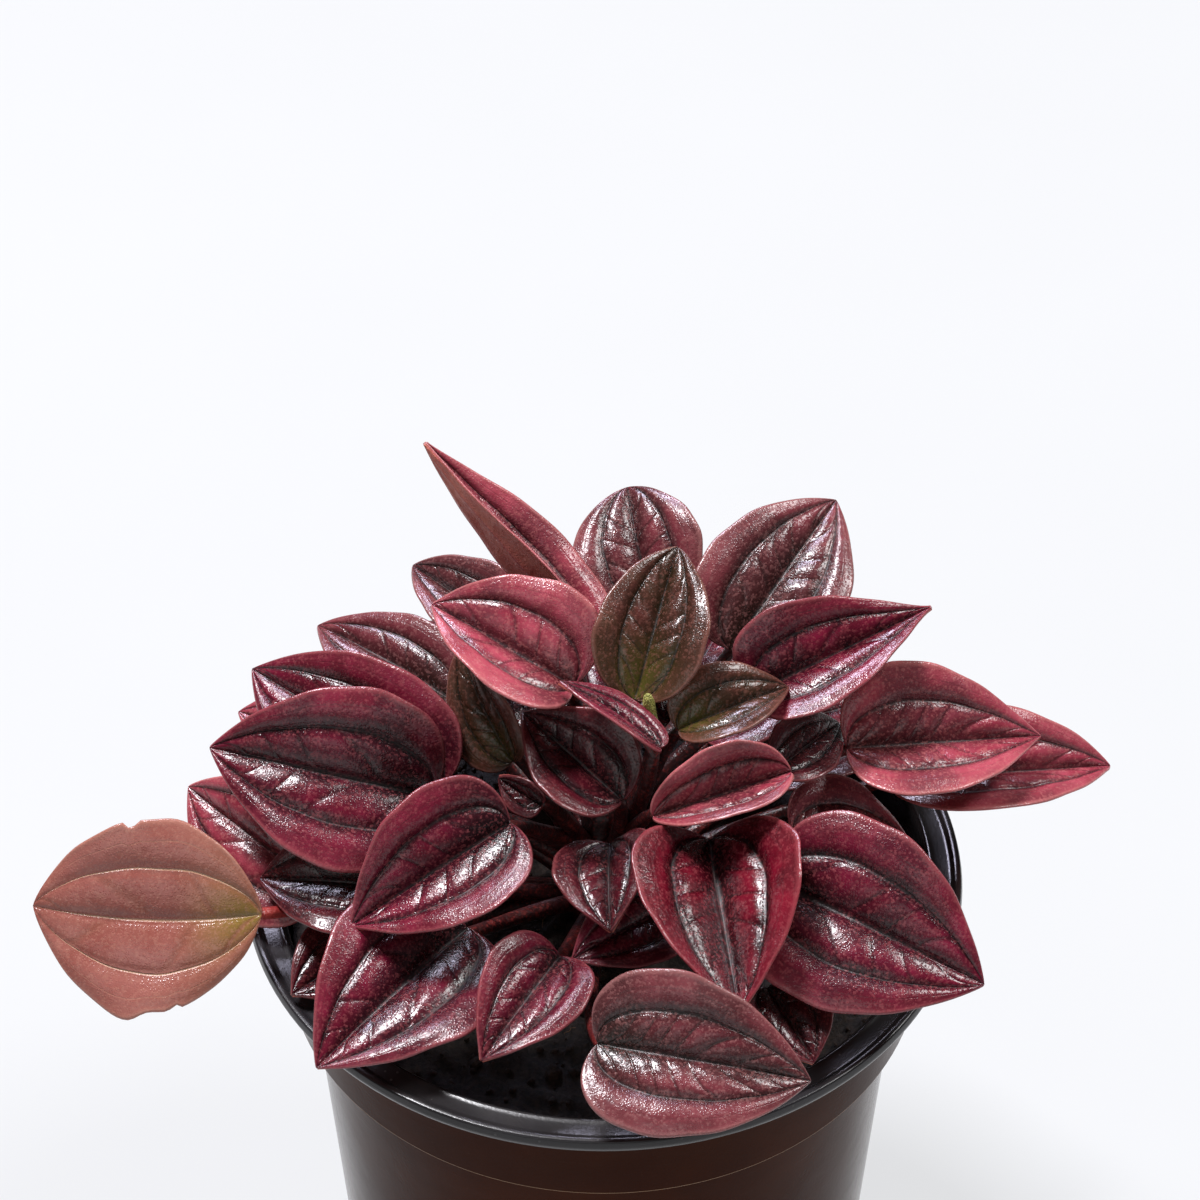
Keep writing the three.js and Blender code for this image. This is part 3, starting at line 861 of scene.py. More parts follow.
@dataclass
class Pot:
    """The thin two-colour nursery pot, turned from one rounded profile.

    Args:
        height: Overall height.
        rim_radius: Outside of the flange.
        base_radius: Outside at the foot.
        body_top_radius: Outside below the step.
        step_height: Height of the step to the collar.
        collar_low_radius: Outside of the collar at the step.
        collar_top_radius: Outside of the collar under the flange.
        wall: Wall thickness.
        flange_drop: From the lip's top to the flange's underside.
        foot_lift: How far the drained floor stands above the table.
        pad_radius: Radius of the centre pad.
        foot_inner_radius: Inside of the standing ring.
        hole_count: Number of drain holes.
        hole_radius: Radius of a drain hole.
        hole_circle: Radius of the circle they stand on.
        hole_sides: Faces round a drain hole.
        segments: Faces round the pot.
        corner_steps: Steps round each corner of the profile.
        crease: Angle in degrees over which an edge stays sharp.
    """

    height: float = 100.0
    rim_radius: float = 60.0
    base_radius: float = 45.7
    body_top_radius: float = 50.4
    step_height: float = 80.0
    collar_low_radius: float = 54.0
    collar_top_radius: float = 54.8
    wall: float = 1.1
    flange_drop: float = 2.3
    foot_lift: float = 3.0
    pad_radius: float = 16.0
    foot_inner_radius: float = 36.0
    hole_count: int = 8
    hole_radius: float = 4.0
    hole_circle: float = 26.0
    hole_sides: int = 28
    segments: int = 144
    corner_steps: int = 4
    crease: float = 38.0

    def profile(self) -> list[Triple]:
        """Corners of the closed profile.

        Returns:
            Radius, height and rounding of each corner, from the axis underneath round to the axis.
        """
        rim, collar, wall, lift, step = (
            self.rim_radius, self.collar_top_radius, self.wall, self.foot_lift, self.step_height)
        lift_in, lift_out = self.pad_radius + lift * 0.7, self.foot_inner_radius - lift * 0.7
        foot, top, under, deck = (
            self.base_radius - 1.2, self.height, self.height - self.flange_drop, self.height - 0.6)
        return [
            (0, 0, 0), (self.pad_radius, 0, 0.8), (lift_in, lift, 0.8), (lift_out, lift, 0.8),
            (self.foot_inner_radius, 0, 0.5), (foot, 0, 0.5), (self.base_radius, 1.4, 0.8),
            (self.body_top_radius, step - 0.5, 0.25), (self.collar_low_radius, step, 0.35),
            (collar, under, 0.5), (rim - 0.3, under, 0.25), (rim, under + 0.9, 0.3),
            (rim - 0.3, top - 0.1, 0.35), (rim - 1.3, top, 0.4), (rim - 2.0, deck - 0.15, 0.4),
            (collar + 0.7, deck - 0.1, 0.4), (collar - 0.1, deck + 0.1, 0.5),
            (collar - wall, deck - 1.1, 0.6), (self.collar_low_radius - wall, step + wall, 0.5),
            (self.body_top_radius - wall, step + wall - 0.5, 0.5), (foot - 0.2, wall + 0.6, 0.6),
            (self.foot_inner_radius + 0.6, wall, 0.4), (lift_out + 0.4, lift + wall, 0.6),
            (lift_in - 0.4, lift + wall, 0.6), (self.pad_radius - 0.6, wall, 0.4), (0, wall, 0),
        ]

    def rounded(self) -> list[tuple[float, float]]:
        """The profile with its corners rounded.

        Returns:
            Radius and height of each point.
        """
        corners = self.profile()
        points: list[tuple[float, float]] = []
        for index, (radius, height, rounding) in enumerate(corners):
            if rounding == 0:
                points.append((radius, height))
                continue
            here = Vector((radius, height))
            before = Vector(corners[index - 1][:2]) - here
            after = Vector(corners[index + 1][:2]) - here
            reach = min(rounding, before.length * 0.45, after.length * 0.45)
            first, last = here + before.normalized() * reach, here + after.normalized() * reach
            for step in range(self.corner_steps + 1):
                t = step / self.corner_steps
                spot = first * (1 - t) ** 2 + here * 2 * t * (1 - t) + last * t ** 2
                points.append((spot.x, spot.y))
        return points

    def shell(self, material: Material) -> Thing:
        """Turns the profile round the axis and cuts the ring of drain holes.

        Args:
            material: The outside plastic.

        Returns:
            The shell.
        """
        line = bpy.data.meshes.new("pot_profile")
        points = self.rounded()
        line.from_pydata([((r - self.hole_circle) * MM, -z * MM, 0) for r, z in points],
                         [(i, i + 1) for i in range(len(points) - 1)], [])
        w = NodeShape("pot_shell", {
            "Turning Radius": self.hole_circle * MM, "Hole Radius": self.hole_radius * MM,
            "Hole Circle": self.hole_circle * MM, "Hole Height": (self.foot_lift + self.wall / 2) * MM,
            "Hole Depth": 4 * self.wall * MM})
        given = w.given
        circle = w.add("GeometryNodeCurvePrimitiveCircle",
                       {"Resolution": self.segments, "Radius": given["Turning Radius"]})
        profile = w.add("GeometryNodeMeshToCurve", {0: given["Geometry"]})
        swept = w.add("GeometryNodeCurveToMesh", {"Curve": circle, "Profile Curve": profile})
        merged = w.add("GeometryNodeMergeByDistance", {"Geometry": swept, "Distance": 2e-5})
        ring = w.add("GeometryNodeCurvePrimitiveCircle",
                     {"Resolution": self.hole_count, "Radius": given["Hole Circle"]})
        spots = w.add("GeometryNodeCurveToPoints", {"Curve": ring}, mode="EVALUATED")
        punch = w.add("GeometryNodeMeshCylinder", {
            "Vertices": self.hole_sides, "Radius": given["Hole Radius"], "Depth": given["Hole Depth"]})
        punches = w.add("GeometryNodeInstanceOnPoints", {"Points": spots, "Instance": punch})
        lift = w.add("ShaderNodeCombineXYZ", {2: given["Hole Height"]})
        raised = w.add("GeometryNodeTranslateInstances", {"Instances": punches, "Translation": lift})
        solid = w.add("GeometryNodeRealizeInstances", {0: raised})
        holed = w.add("GeometryNodeMeshBoolean", operation="DIFFERENCE", solver="EXACT")
        w.feed(holed, {"Mesh 1": merged, "Mesh 2": solid})
        return w.make("pot_shell", placed("pot_profile", line), holed, material)

    def build(self, effects: Effects) -> None:
        """Builds and dresses the pot.

        Args:
            effects: The shared shader groups.
        """
        outside, inside = POT_OUTSIDE.material(effects), POT_INSIDE.material(effects)
        pot = self.shell(outside)
        face_out(pot)
        pot.data.materials.append(inside)
        under = (self.height - self.flange_drop + 0.15) * MM
        for face in pot.data.polygons:
            normal, centre = face.normal, face.center
            inner = normal.x * centre.x + normal.y * centre.y < 0 or normal.z > 0.5
            if centre.z > under or (inner and centre.z > self.wall * 0.8 * MM):
                face.material_index = 1
        pot.data.set_sharp_from_angle(angle=math.radians(self.crease))
        shown(pot, "pot", "pot")


# ---- Soil -------------------------------------------------------------------------------------


@dataclass
class Soil:
    """The potting soil with crumbs, perlite and fibres strewn on it.

    Args:
        pot: The pot that holds it.
        level: Height of its top at the wall.
        mound_height: How much higher it stands round the crown.
        mound_radius: Width of that mound.
        crumb_height: Height of the crumbs in the solid.
        gap: Clearance to the wall.
        neck_radius: Radius of the crown's neck in it.
        neck_foot: Height of the neck's foot.
        spread: How much wider its top is than the collar's foot.
        shelf_drop: How much lower it lies inside the pot's step.
        floor_inset: How much narrower than the foot it is at the floor.
        rings: Steps from the neck to the wall.
        segments: Steps round it.
        sheet_rings: Rings of the sheet that carries the scatters.
        sheet_segments: Steps round that sheet.
        fibre_seed: Seed of the fibres.
    """

    pot: Pot
    level: float = 88.0
    mound_height: float = 3.0
    mound_radius: float = 25.0
    crumb_height: float = 0.7
    gap: float = 0.3
    neck_radius: float = 6.0
    neck_foot: float = 76.0
    spread: float = 0.3
    shelf_drop: float = 0.5
    floor_inset: float = 1.4
    rings: int = 60
    segments: int = 200
    sheet_rings: int = 16
    sheet_segments: int = 60
    fibre_seed: int = 51

    # Size and height of the lumps and of the grains in millimetres
    LUMP_SIZE, LUMP_HEIGHT, GRAIN_SIZE, GRAIN_HEIGHT = 5.0, 0.9, 1.6, 0.7
    # How far the carrier sheet stays off the neck and the wall, and how high it lies on the soil
    SHEET_START, SHEET_INSET, SHEET_LIFT = 2, 2.6, 0.2

    def height(self, radius: float, angle: float) -> float:
        """Height of the soil's top.

        Args:
            radius: Distance from the axis.
            angle: Angle round the axis in radians.

        Returns:
            The height in millimetres.
        """
        mound = self.mound_height * math.exp(-((radius / self.mound_radius) ** 2))
        crumbs = math.sin(5 * angle + 0.31 * radius) * math.cos(7 * angle - 0.83 * radius)
        spot = Vector((radius * math.cos(angle), radius * math.sin(angle), 0))
        lumps = (noise.fractal(spot / self.LUMP_SIZE, 0.6, 2.0, 4) * self.LUMP_HEIGHT
                 + abs(noise.noise(spot / self.GRAIN_SIZE)) * self.GRAIN_HEIGHT)
        return self.level + mound + self.crumb_height * crumbs + lumps

    def body(self, material: Material) -> Thing:
        """The closed block of soil.

        Args:
            material: Its material.

        Returns:
            The object.
        """
        pot, gap, wall = self.pot, self.gap, self.pot.wall
        shelf, floor = pot.step_height + wall + gap, pot.foot_lift + wall + gap
        hole, foot = self.neck_radius + gap, self.neck_foot - gap
        edge = pot.collar_low_radius - wall + self.spread - 2 * gap
        top = [(hole + (edge - hole) * i / self.rings, None) for i in range(self.rings + 1)]
        profile = [(hole, foot), *top, (pot.collar_low_radius - wall - 2 * gap, shelf),
                   (pot.body_top_radius - wall - 2 * gap, shelf - self.shelf_drop),
                   (pot.base_radius - self.floor_inset, floor)]
        rings = [[turned(radius, a, self.height(radius, a) if height is None else height)
                  for a in around(self.segments)] for radius, height in profile]
        poles = [(0.0, 0.0, foot * MM), (0.0, 0.0, floor * MM)]
        return wrapped("soil_block", poles, rings, material, flip=True)

    def strewn(self, name: str, seed: int, density: float, size: tuple[float, float],
               subdivisions: int, material: Material) -> Thing:
        """Crumbs of one kind over the soil's top.

        Args:
            name: Name of the object.
            seed: Seed of the scatter.
            density: Crumbs per square metre.
            size: Smallest and largest radius in millimetres.
            subdivisions: Fineness of one crumb.
            material: Their material.

        Returns:
            The object.
        """
        w = NodeShape(name, {"Density": density, "Smallest": size[0] * MM, "Largest": size[1] * MM})
        spots = w.scattered(w.given["Density"], seed)
        ball = w.add("GeometryNodeMeshIcoSphere", {"Radius": 1.0, "Subdivisions": subdivisions})
        lump = w.shaken(ball, {"Scale": 1.3, "Detail": 1.0}, 1.8)
        turn = w.random(seed + 1, (0.0, 0.0, 0.0), (math.tau,) * 3)
        grow = w.random(seed + 2, w.given["Smallest"], w.given["Largest"])
        flat = w.random(seed + 3, (0.6, 0.6, 0.45), (1.3, 1.1, 0.9))
        scale = w.add("ShaderNodeVectorMath", {0: flat, "Scale": grow}, operation="SCALE")
        crumbs = w.add("GeometryNodeInstanceOnPoints", {
            "Points": spots, "Instance": lump, "Rotation": turn, "Scale": scale})
        return w.make(name, self.carrier(), crumbs, material)

    def fibres(self, material: Material) -> Thing:
        """Short bits of fibre and bark on the soil.

        Args:
            material: Their material.

        Returns:
            The object.
        """
        w = NodeShape("soil_fibres", {"Density": 2600.0, "Length": 4 * MM, "Thickness": 0.12 * MM})
        spots = w.scattered(w.given["Density"], self.fibre_seed)
        run = w.add("ShaderNodeCombineXYZ", {0: w.given["Length"]})
        strand = w.add("GeometryNodeCurvePrimitiveLine", {"End": run})
        bent = w.shaken(w.add("GeometryNodeResampleCurve", {"Curve": strand, "Count": 6}),
                        {"Scale": 500.0}, 4 * MM)
        ring = w.add("GeometryNodeCurvePrimitiveCircle", {"Resolution": 4, "Radius": w.given["Thickness"]})
        tube = w.add("GeometryNodeCurveToMesh", {"Curve": bent, "Profile Curve": ring, "Fill Caps": True})
        laid = w.add("GeometryNodeInstanceOnPoints", {
            "Points": spots, "Instance": tube, "Scale": w.random(self.fibre_seed + 2, 0.5, 1.4),
            "Rotation": w.random(self.fibre_seed + 1, (0.0, -0.35, 0.0), (0.0, 0.1, math.tau))})
        return w.make("soil_fibres", self.carrier(), laid, material)

    def carrier(self) -> Thing:
        """A coarse sheet over the soil's top for the scatters.

        Returns:
            The object.
        """
        count, edge = self.sheet_segments, self.pot.collar_low_radius - self.pot.wall - self.SHEET_INSET
        radii = np.linspace(self.neck_radius + self.SHEET_START, edge, self.sheet_rings)
        points = [turned(radius, a, self.height(radius, a) + self.SHEET_LIFT)
                  for radius in radii for a in around(count)]
        faces: Faces = []
        for a in range(0, len(points) - count, count):
            for j in range(count):
                k = (j + 1) % count
                faces.append((a + j, a + count + j, a + count + k, a + k))
        return mesh_object("soil_sheet", points, faces)

    def build(self, effects: Effects) -> None:
        """Builds and dresses the soil with everything on it.

        Args:
            effects: The shared shader groups.
        """
        crumb = CRUMB_FINISH.material(effects)
        soil = join(
            "soil_top", self.body(SOIL_FINISH.material(effects)),
            self.strewn("soil_crumbs", 11, 90000.0, (0.25, 0.9), 1, crumb),
            self.strewn("soil_lumps", 21, 9000.0, (0.8, 1.7), 2, crumb),
            self.strewn("soil_perlite", 31, 3600.0, (0.35, 1.0), 2, PERLITE_FINISH.material(effects)),
            self.fibres(FIBRE_FINISH.material(effects)))
        shown(soil, "soil", "soil")


# ---- Leaves -----------------------------------------------------------------------------------


@dataclass(frozen=True)
class Notch:
    """A bite out of a blade's margin.

    Args:
        side: 1 for the left margin, -1 for the right.
        share: Where along the blade.
        width: How long, as a share of the length.
        depth: How deep, as a share of the half width.
    """

    side: int
    share: float
    width: float
    depth: float


@dataclass(frozen=True)
class Leaf:
    """One leaf, in millimetres and degrees.

    Args:
        base: Where the stalk meets the blade.
        tip: The blade's point.
        face: The way its upper side looks.
        half: Half width.
        fold: How much its left and right halves rise from the midrib.
        cup: How much more they rise by the margin.
        bow: Arch of the midrib upwards, as a share of the length.
        tone: Which colour it has.
        sway: Bend of the midrib to the left, as a share of the length.
        wedge: Exponent of the outline at the base.
        point: Exponent of the outline at the tip.
        lobe: How far the lobes reach behind the stalk.
        lift: How steeply the stalk comes up.
        puckers: Number of cross veins.
        ribs: How deep the cross veins lie.
        relief: How strongly the blade puckers.
        notches: Bites out of the margin.
    """

    base: Triple
    tip: Triple
    face: Triple
    half: float
    fold: tuple[float, float]
    cup: float
    bow: float
    tone: Tone = Tone.WINE
    sway: float = 0.0
    wedge: float = 0.55
    point: float = 0.92
    lobe: float = 0.12
    lift: float = 0.8
    puckers: float = 5.0
    ribs: float = 0.5
    relief: float = 1.0
    notches: tuple[Notch, ...] = ()


TORN_MARGIN = (Notch(-1, 0.57, 0.025, 0.07), Notch(1, 0.4, 0.12, 0.13), Notch(1, 0.35, 0.02, 0.05),
               Notch(1, 0.18, 0.12, 0.12))

LEAVES: tuple[Leaf, ...] = (
    # Left side, from the faded leaf that hangs over the rim
    Leaf((-55, -22, 111), (-92, -20, 111), (0, -7, 6), 16.5, (2, 2), 6, 0.04, Tone.FADED, sway=0.04,
         wedge=0.7, point=0.8, lobe=0, lift=1.6, puckers=3, relief=0.55, notches=TORN_MARGIN),
    Leaf((-46, -12, 107), (-69, 5, 113), (-3, -6, 6), 12, (8, 8), 10, 0.05, Tone.ROSE),
    Leaf((-28, -5, 121), (-64, 0, 127), (0, -6, 6), 15.5, (8, 8), 16, 0.06),
    Leaf((-32, 11, 111), (-62, 23, 113), (-2, -4, 8), 11, (8, 8), 10, 0.05, Tone.ROSE),
    Leaf((-27, 2, 116), (-59, 23, 123), (-1, -5, 7), 13.5, (8, 8), 16, 0.06),
    Leaf((-25, 18, 120), (-49, 37, 120), (-1, -2, 9), 9, (15, 15), 10, 0.06, Tone.DUSKY),
    Leaf((-15, 4, 120), (-24, 19, 132), (-6, -6, 5), 7, (15, 15), 10, 0.05, Tone.OLIVE),
    # Back
    Leaf((-14, 31, 121), (-33, 48, 124), (-2, -3, 9), 9, (30, 30), 10, 0.05, Tone.DUSKY),
    Leaf((-3, 21, 132), (-29, 39, 159), (5, -4, 6), 10.5, (70, 10), 20, -0.1, Tone.ROSE, point=1.1),
    Leaf((9, 30, 126), (4, 50, 140), (-1, -8, 5), 11.5, (12, 12), 5, 0.1, Tone.DUSKY, wedge=0.75,
         point=0.7),
    Leaf((21, 18, 132), (39, 42, 144), (-1, -7, 6), 13, (10, 10), 10, 0.06, Tone.DUSKY, ribs=1.2,
         puckers=6),
    # Round the heart
    Leaf((5, 2, 136), (12, 22, 151), (-1, -8, 6), 10, (15, 15), 20, 0.05, Tone.OLIVE, lobe=0.06,
         point=0.8, ribs=1.2, puckers=6),
    Leaf((-5, 5, 136), (-28, 17, 143), (2, -6, 7), 13.5, (40, 10), 16, 0.05, Tone.ROSE, lobe=0.16),
    Leaf((25, 9, 131), (54, 22, 138), (-3, -8, 6), 11.5, (5, 40), 20, 0.05, lobe=0.16, point=1.3),
    Leaf((12, -1, 132), (30, 7, 134), (1, -5, 7), 8, (5, 50), 5, 0.12, Tone.OLIVE),
    Leaf((3, -9, 124), (-13, 3, 132), (4, -7, 5), 10, (15, 15), 30, 0, Tone.WINE_SHADED, lobe=0.06),
    Leaf((8, -13.5, 125), (30, -8, 129.5), (-1, -8, 5), 9, (5, 60), 30, 0, Tone.ROSE, wedge=0.75,
         point=0.55, lobe=0.06, ribs=1.2, puckers=6),
    Leaf((9, -7, 134), (-7, 1, 141), (4, 1, 8), 4.4, (10, 10), 10, 0.05),
    # Right side
    Leaf((40, 5, 122), (73, 13, 117), (0, -6, 7), 13.5, (5, 40), 12, 0.06, Tone.ROSE, point=1.1,
         ribs=1.4, puckers=7),
    Leaf((48, 8, 112), (86, 17, 106), (1, -6, 7), 12, (5, 50), 10, 0.05, Tone.ROSE, ribs=1.4,
         puckers=7),
    Leaf((28, -3, 125), (39, 11, 122), (2, -4, 8), 6, (15, 15), 10, 0.05, Tone.WINE_SHADED),
    Leaf((31, -5, 112), (51, 0, 105), (2, -3, 9), 10, (8, 8), 8, 0.05, Tone.ROSE),
    Leaf((27, -21, 118), (60, -37, 111), (0, -6, 7), 16, (8, 8), 12, 0.08),
    # Front
    Leaf((-15, -15, 125), (-40, -28, 115), (-3, -7, 7), 13, (14, 14), 30, 0.03),
    Leaf((-33, -16, 111), (-56, -13, 110), (-1, -5, 8), 11, (24, 9), 10, 0.05, Tone.WINE_SHADED),
    Leaf((-37, -19, 101.5), (-50, -31, 102), (-3, -6, 8), 8.5, (8, 8), 8, 0.03, Tone.WINE_SHADED),
    Leaf((-22, -22, 108), (-45, -48, 104), (-2, -7, 7), 15, (14, 4), 14, 0.06, lobe=0.06),
    Leaf((-7, -30, 110), (-19, -49, 107), (0, -5, 8), 9, (12, 12), 16, 0.05),
    Leaf((1, -12, 117), (1, -30, 116), (-3, -6, 7), 9, (10, 20), 16, 0.05, Tone.WINE_SHADED),
    Leaf((12, -16, 107), (-5, -28, 107), (0, -5, 8), 8, (10, 10), 10, 0.05),
    Leaf((17, -14, 120), (21, -45, 114), (0, -5, 8), 17, (20, 20), 35, 0, Tone.CRIMSON, lobe=0.1),
    Leaf((-1, -50, 112), (32, -55, 109), (0, -6, 8), 13, (8, 8), 10, 0.08, Tone.DUSKY, lobe=0.16,
         ribs=1.3, puckers=8),
    Leaf((26, -35, 108), (33, -47, 104), (3, -5, 7), 8, (8, 8), 8, 0.05, Tone.WINE_SHADED),
    Leaf((-10, -10, 124), (-17, -6, 126), (-3, -8, 5), 3.5, (20, 20), 20, 0, Tone.WINE_SHADED),
)


@dataclass(frozen=True)
class BackRow:
    """The hidden lower leaves at the back, laid out by angle.

    Args:
        count: How many.
        first_angle: Angle of the first in degrees.
        last_angle: Angle of the last.
        base_radius: Where a blade starts, from the axis.
        length: Length of a blade.
        half: Half width of a blade.
        height: Height of a blade's base.
        drop: How much lower its tip is.
        stagger: Every other one starts this much higher and further in.
        scatter: How much their reach varies.
        seed: Seed of the scatter.
    """

    count: int = 6
    first_angle: float = 30.0
    last_angle: float = 124.0
    base_radius: float = 30.0
    length: float = 34.0
    half: float = 11.0
    height: float = 106.0
    drop: float = 2.0
    stagger: float = 4.0
    scatter: float = 3.0
    seed: int = 7

    # Factor and modulus of the generator of random numbers
    FACTOR, MODULUS = 16807, 2147483647

    def leaves(self) -> list[Leaf]:
        """Lays out the row.

        Returns:
            Its leaves.
        """
        state, draws = self.seed, []
        for _ in range(2 * self.count):
            state = state * self.FACTOR % self.MODULUS
            draws.append(state / self.MODULUS * 2 - 1)
        row = []
        for i in range(self.count):
            share = i / (self.count - 1)
            turn = self.first_angle + (self.last_angle - self.first_angle) * share + draws[2 * i]
            angle, high = math.radians(turn), self.stagger if i % 2 else 0.0
            reach = self.base_radius + self.length + self.scatter * draws[2 * i + 1] - high
            near, level = self.base_radius - high, self.height + high
            east, north = math.cos(angle), math.sin(angle)
            row.append(Leaf((near * east, near * north, level),
                            (reach * east, reach * north, level - self.drop),
                            (0.4 * east, 0.4 * north, 1), self.half, (10, 10), 8, 0.06))
        return row


def wobble(points: Array, scale: float, seed: float) -> Array:
    """Smooth repeatable noise at each point.

    Args:
        points: Points in millimetres, one per row.
        scale: Size of one bump in millimetres.
        seed: Moves the pattern.

    Returns:
        One value about -1 to 1 per point.
    """
    return np.array([noise.noise(Vector((x / scale + seed, y / scale - seed, z / scale)))
                     for x, y, z in points])


class Blade:
    """The surface of one leaf blade.

    Its methods take the share of the length and the place across, from -1 at the right margin to 1 at
    the left, as arrays of one shape.
    """

    ROWS, COLUMNS = 60, 49
    THICKNESS = 0.8
    RUFFLE = 0.05
    SIDE_VEIN = 0.52
    # Place, spread and depth of the troughs, as shares of the local half width
    TROUGHS = ((0, 0.05, 0.02), (0, 0.2, 0.05), (SIDE_VEIN, 0.04, 0.015))
    # Heights of the pillow, the rolled outer zone with its base, and the lip, as such shares
    PILLOW, ROLL, ROLL_BASE, LIP = 0.06, 0.075, 0.014, 0.02
    # Depth and breadth of a cross vein
    CROSS_DEPTH, CROSS_BREADTH = 0.045, 0.13
    # Height and size of the large and the small lumps in millimetres
    LUMPS = ((0.36, 8.0), (0.04, 3.0))
    # Size from which lumps have their full height, in millimetres of half width
    FULL_LUMPS = 5
    RIM_BULGE = 0.16
    # Ripple of the margin, as a share of the half width
    RIPPLE = 0.02
    # How far cross veins lag towards the margin, how much they waver, and how far those on the right
    # are set off
    LAG, WAVER, SET_OFF = 0.32, 0.05, 0.37
    # Phase from one leaf to the next, and the one they count from
    PHASE_STEP, PHASE_START = 0.61, 20.0
    # How the columns crowd at the margin, and how much thinner the blade is there
    CROWDING, THINNING = 1.15, 0.5

    def __init__(self, leaf: Leaf, number: int) -> None:
        """Works out the blade's own axes.

        Args:
            leaf: The leaf.
            number: Its number, which also varies its wrinkles.
        """
        self.leaf = leaf
        self.number = number
        self.base = np.array(leaf.base, float)
        along = np.array(leaf.tip, float) - self.base
        self.length = float(np.linalg.norm(along))
        self.along = along / self.length
        up = np.array(leaf.face, float)
        up -= self.along * (up @ self.along)
        self.up = up / np.linalg.norm(up)
        self.left = np.cross(self.up, self.along)

    def outline(self, share: Array) -> Array:
        """Share of the half width at a share of the length."""
        wedge, point = self.leaf.wedge, self.leaf.point
        widest = wedge / (wedge + point)
        return (share / widest) ** wedge * ((1 - share) / (1 - widest)) ** point

    def phase(self, share: Array, across: Array) -> Array:
        """Where points lie between cross veins.

        Args:
            share: Share of the length.
            across: Place across.

        Returns:
            The phase; a cross vein runs where its fraction is a half.
        """
        lag = self.LAG * np.abs(across) + self.WAVER * np.sin(9 * share + self.number)
        side = np.where(across > 0, 0.0, self.SET_OFF)
        return self.leaf.puckers * (share - lag) + side + self.PHASE_STEP * self.number + self.PHASE_START

    def relief(self, share: Array, across: Array) -> Array:
        """Grooves of the veins and the pillows between them.

        Args:
            share: Share of the length.
            across: Place across.

        Returns:
            Height as a share of the local half width.
        """
        reach, vein = np.abs(across), self.SIDE_VEIN
        inner, outer = np.clip(reach / vein, 0, 1), np.clip((reach - vein) / (1 - vein), 0, 1)

        def groove(place: float, spread: float) -> Array:
            """A soft trough along a vein."""
            return np.exp(-(((reach - place) / spread) ** 2))

        height = -sum(depth * groove(place, spread) for place, spread, depth in self.TROUGHS)
        height += self.PILLOW * (1 - np.abs(2 * inner - 1) ** 3)
        height += self.ROLL * (1 - np.abs(2 * outer - 0.9) ** 2) + self.ROLL_BASE
        saw = np.abs(np.mod(self.phase(share, across), 1) - 0.5)
        window = np.sin(np.pi * inner) * np.sin(np.pi * np.clip(share, 0, 1))
        height -= (self.CROSS_DEPTH * self.leaf.ribs * np.exp(-((saw / self.CROSS_BREADTH) ** 2))
                   * window)
        height += self.LIP * groove(1.0, 0.05)
        return height * self.leaf.relief

    def smooth_points(self, share: Array, across: Array) -> Array:
        """The blade's surface without its fine relief.

        Args:
            share: Share of the length.
            across: Place across.

        Returns:
            The points in millimetres, with the axes last.
        """
        leaf, reach, number = self.leaf, np.abs(across), self.number
        half = leaf.half * self.outline(share)
        half = half * (1 + self.RIPPLE * np.sin(19 * share + 3 * across + number)
                       * np.sin(7 * share + 2 * number))
        for notch in leaf.notches:
            bite = np.exp(-(np.abs((share - notch.share) / notch.width) ** 4))
            half = half * (1 - notch.depth * bite * np.clip(2 * across * notch.side - 1, 0, 1))
        fold = np.radians(np.where(across > 0, leaf.fold[0], leaf.fold[1]))
        cup = math.radians(leaf.cup)
        out = half * (np.sin(fold + cup * reach) - np.sin(fold)) / cup
        rise = half * (np.cos(fold) - np.cos(fold + cup * reach)) / cup
        ruffle = self.RUFFLE * half * reach ** 4 * np.sin(9 * share + 4 * leaf.tip[0] + across)
        bow = 4 * leaf.bow * self.length * share * (1 - share)
        sway = 4 * leaf.sway * self.length * share * (1 - share)
        set_back = 3 * leaf.lobe * self.length * reach ** 2 * np.sqrt(share) * (1 - share) ** 3
        forward = share * self.length - set_back
        return (self.base + forward[..., None] * self.along
                + (np.sign(across) * out + sway)[..., None] * self.left
                + (rise + ruffle + bow)[..., None] * self.up)

    def normals(self, share: Array, across: Array, step: float = 0.004) -> Array:
        """Upward normals of the smooth blade.

        Args:
            share: Share of the length.
            across: Place across.
            step: How far it looks to either side.

        Returns:
            Unit normals, with the axes last.
        """
        share, across = np.clip(share, 0.02, 0.97), np.clip(across, -0.99, 0.99)
        forward = self.smooth_points(share + step, across) - self.smooth_points(share - step, across)
        sideways = self.smooth_points(share, across + step) - self.smooth_points(share, across - step)
        normal = np.cross(forward, sideways)
        return normal / np.linalg.norm(normal, axis=-1, keepdims=True)

    def upper(self, share: Array, across: Array) -> tuple[Array, Array]:
        """The upper surface with its veins and wrinkles.

        Args:
            share: Share of the length.
            across: Place across.

        Returns:
            The points in millimetres and their smooth normals.
        """
        smooth, normal = self.smooth_points(share, across), self.normals(share, across)
        half = self.leaf.half * self.outline(share)
        (large, wide), (small, narrow) = self.LUMPS
        flat = smooth.reshape(-1, 3)
        lumps = large * wobble(flat, wide, self.number) + small * wobble(flat, narrow, -self.number)
        lumps = lumps.reshape(share.shape) * np.clip(half / self.FULL_LUMPS, 0, 1)
        height = half * self.relief(share, across) + lumps
        return smooth + height[..., None] * normal, normal

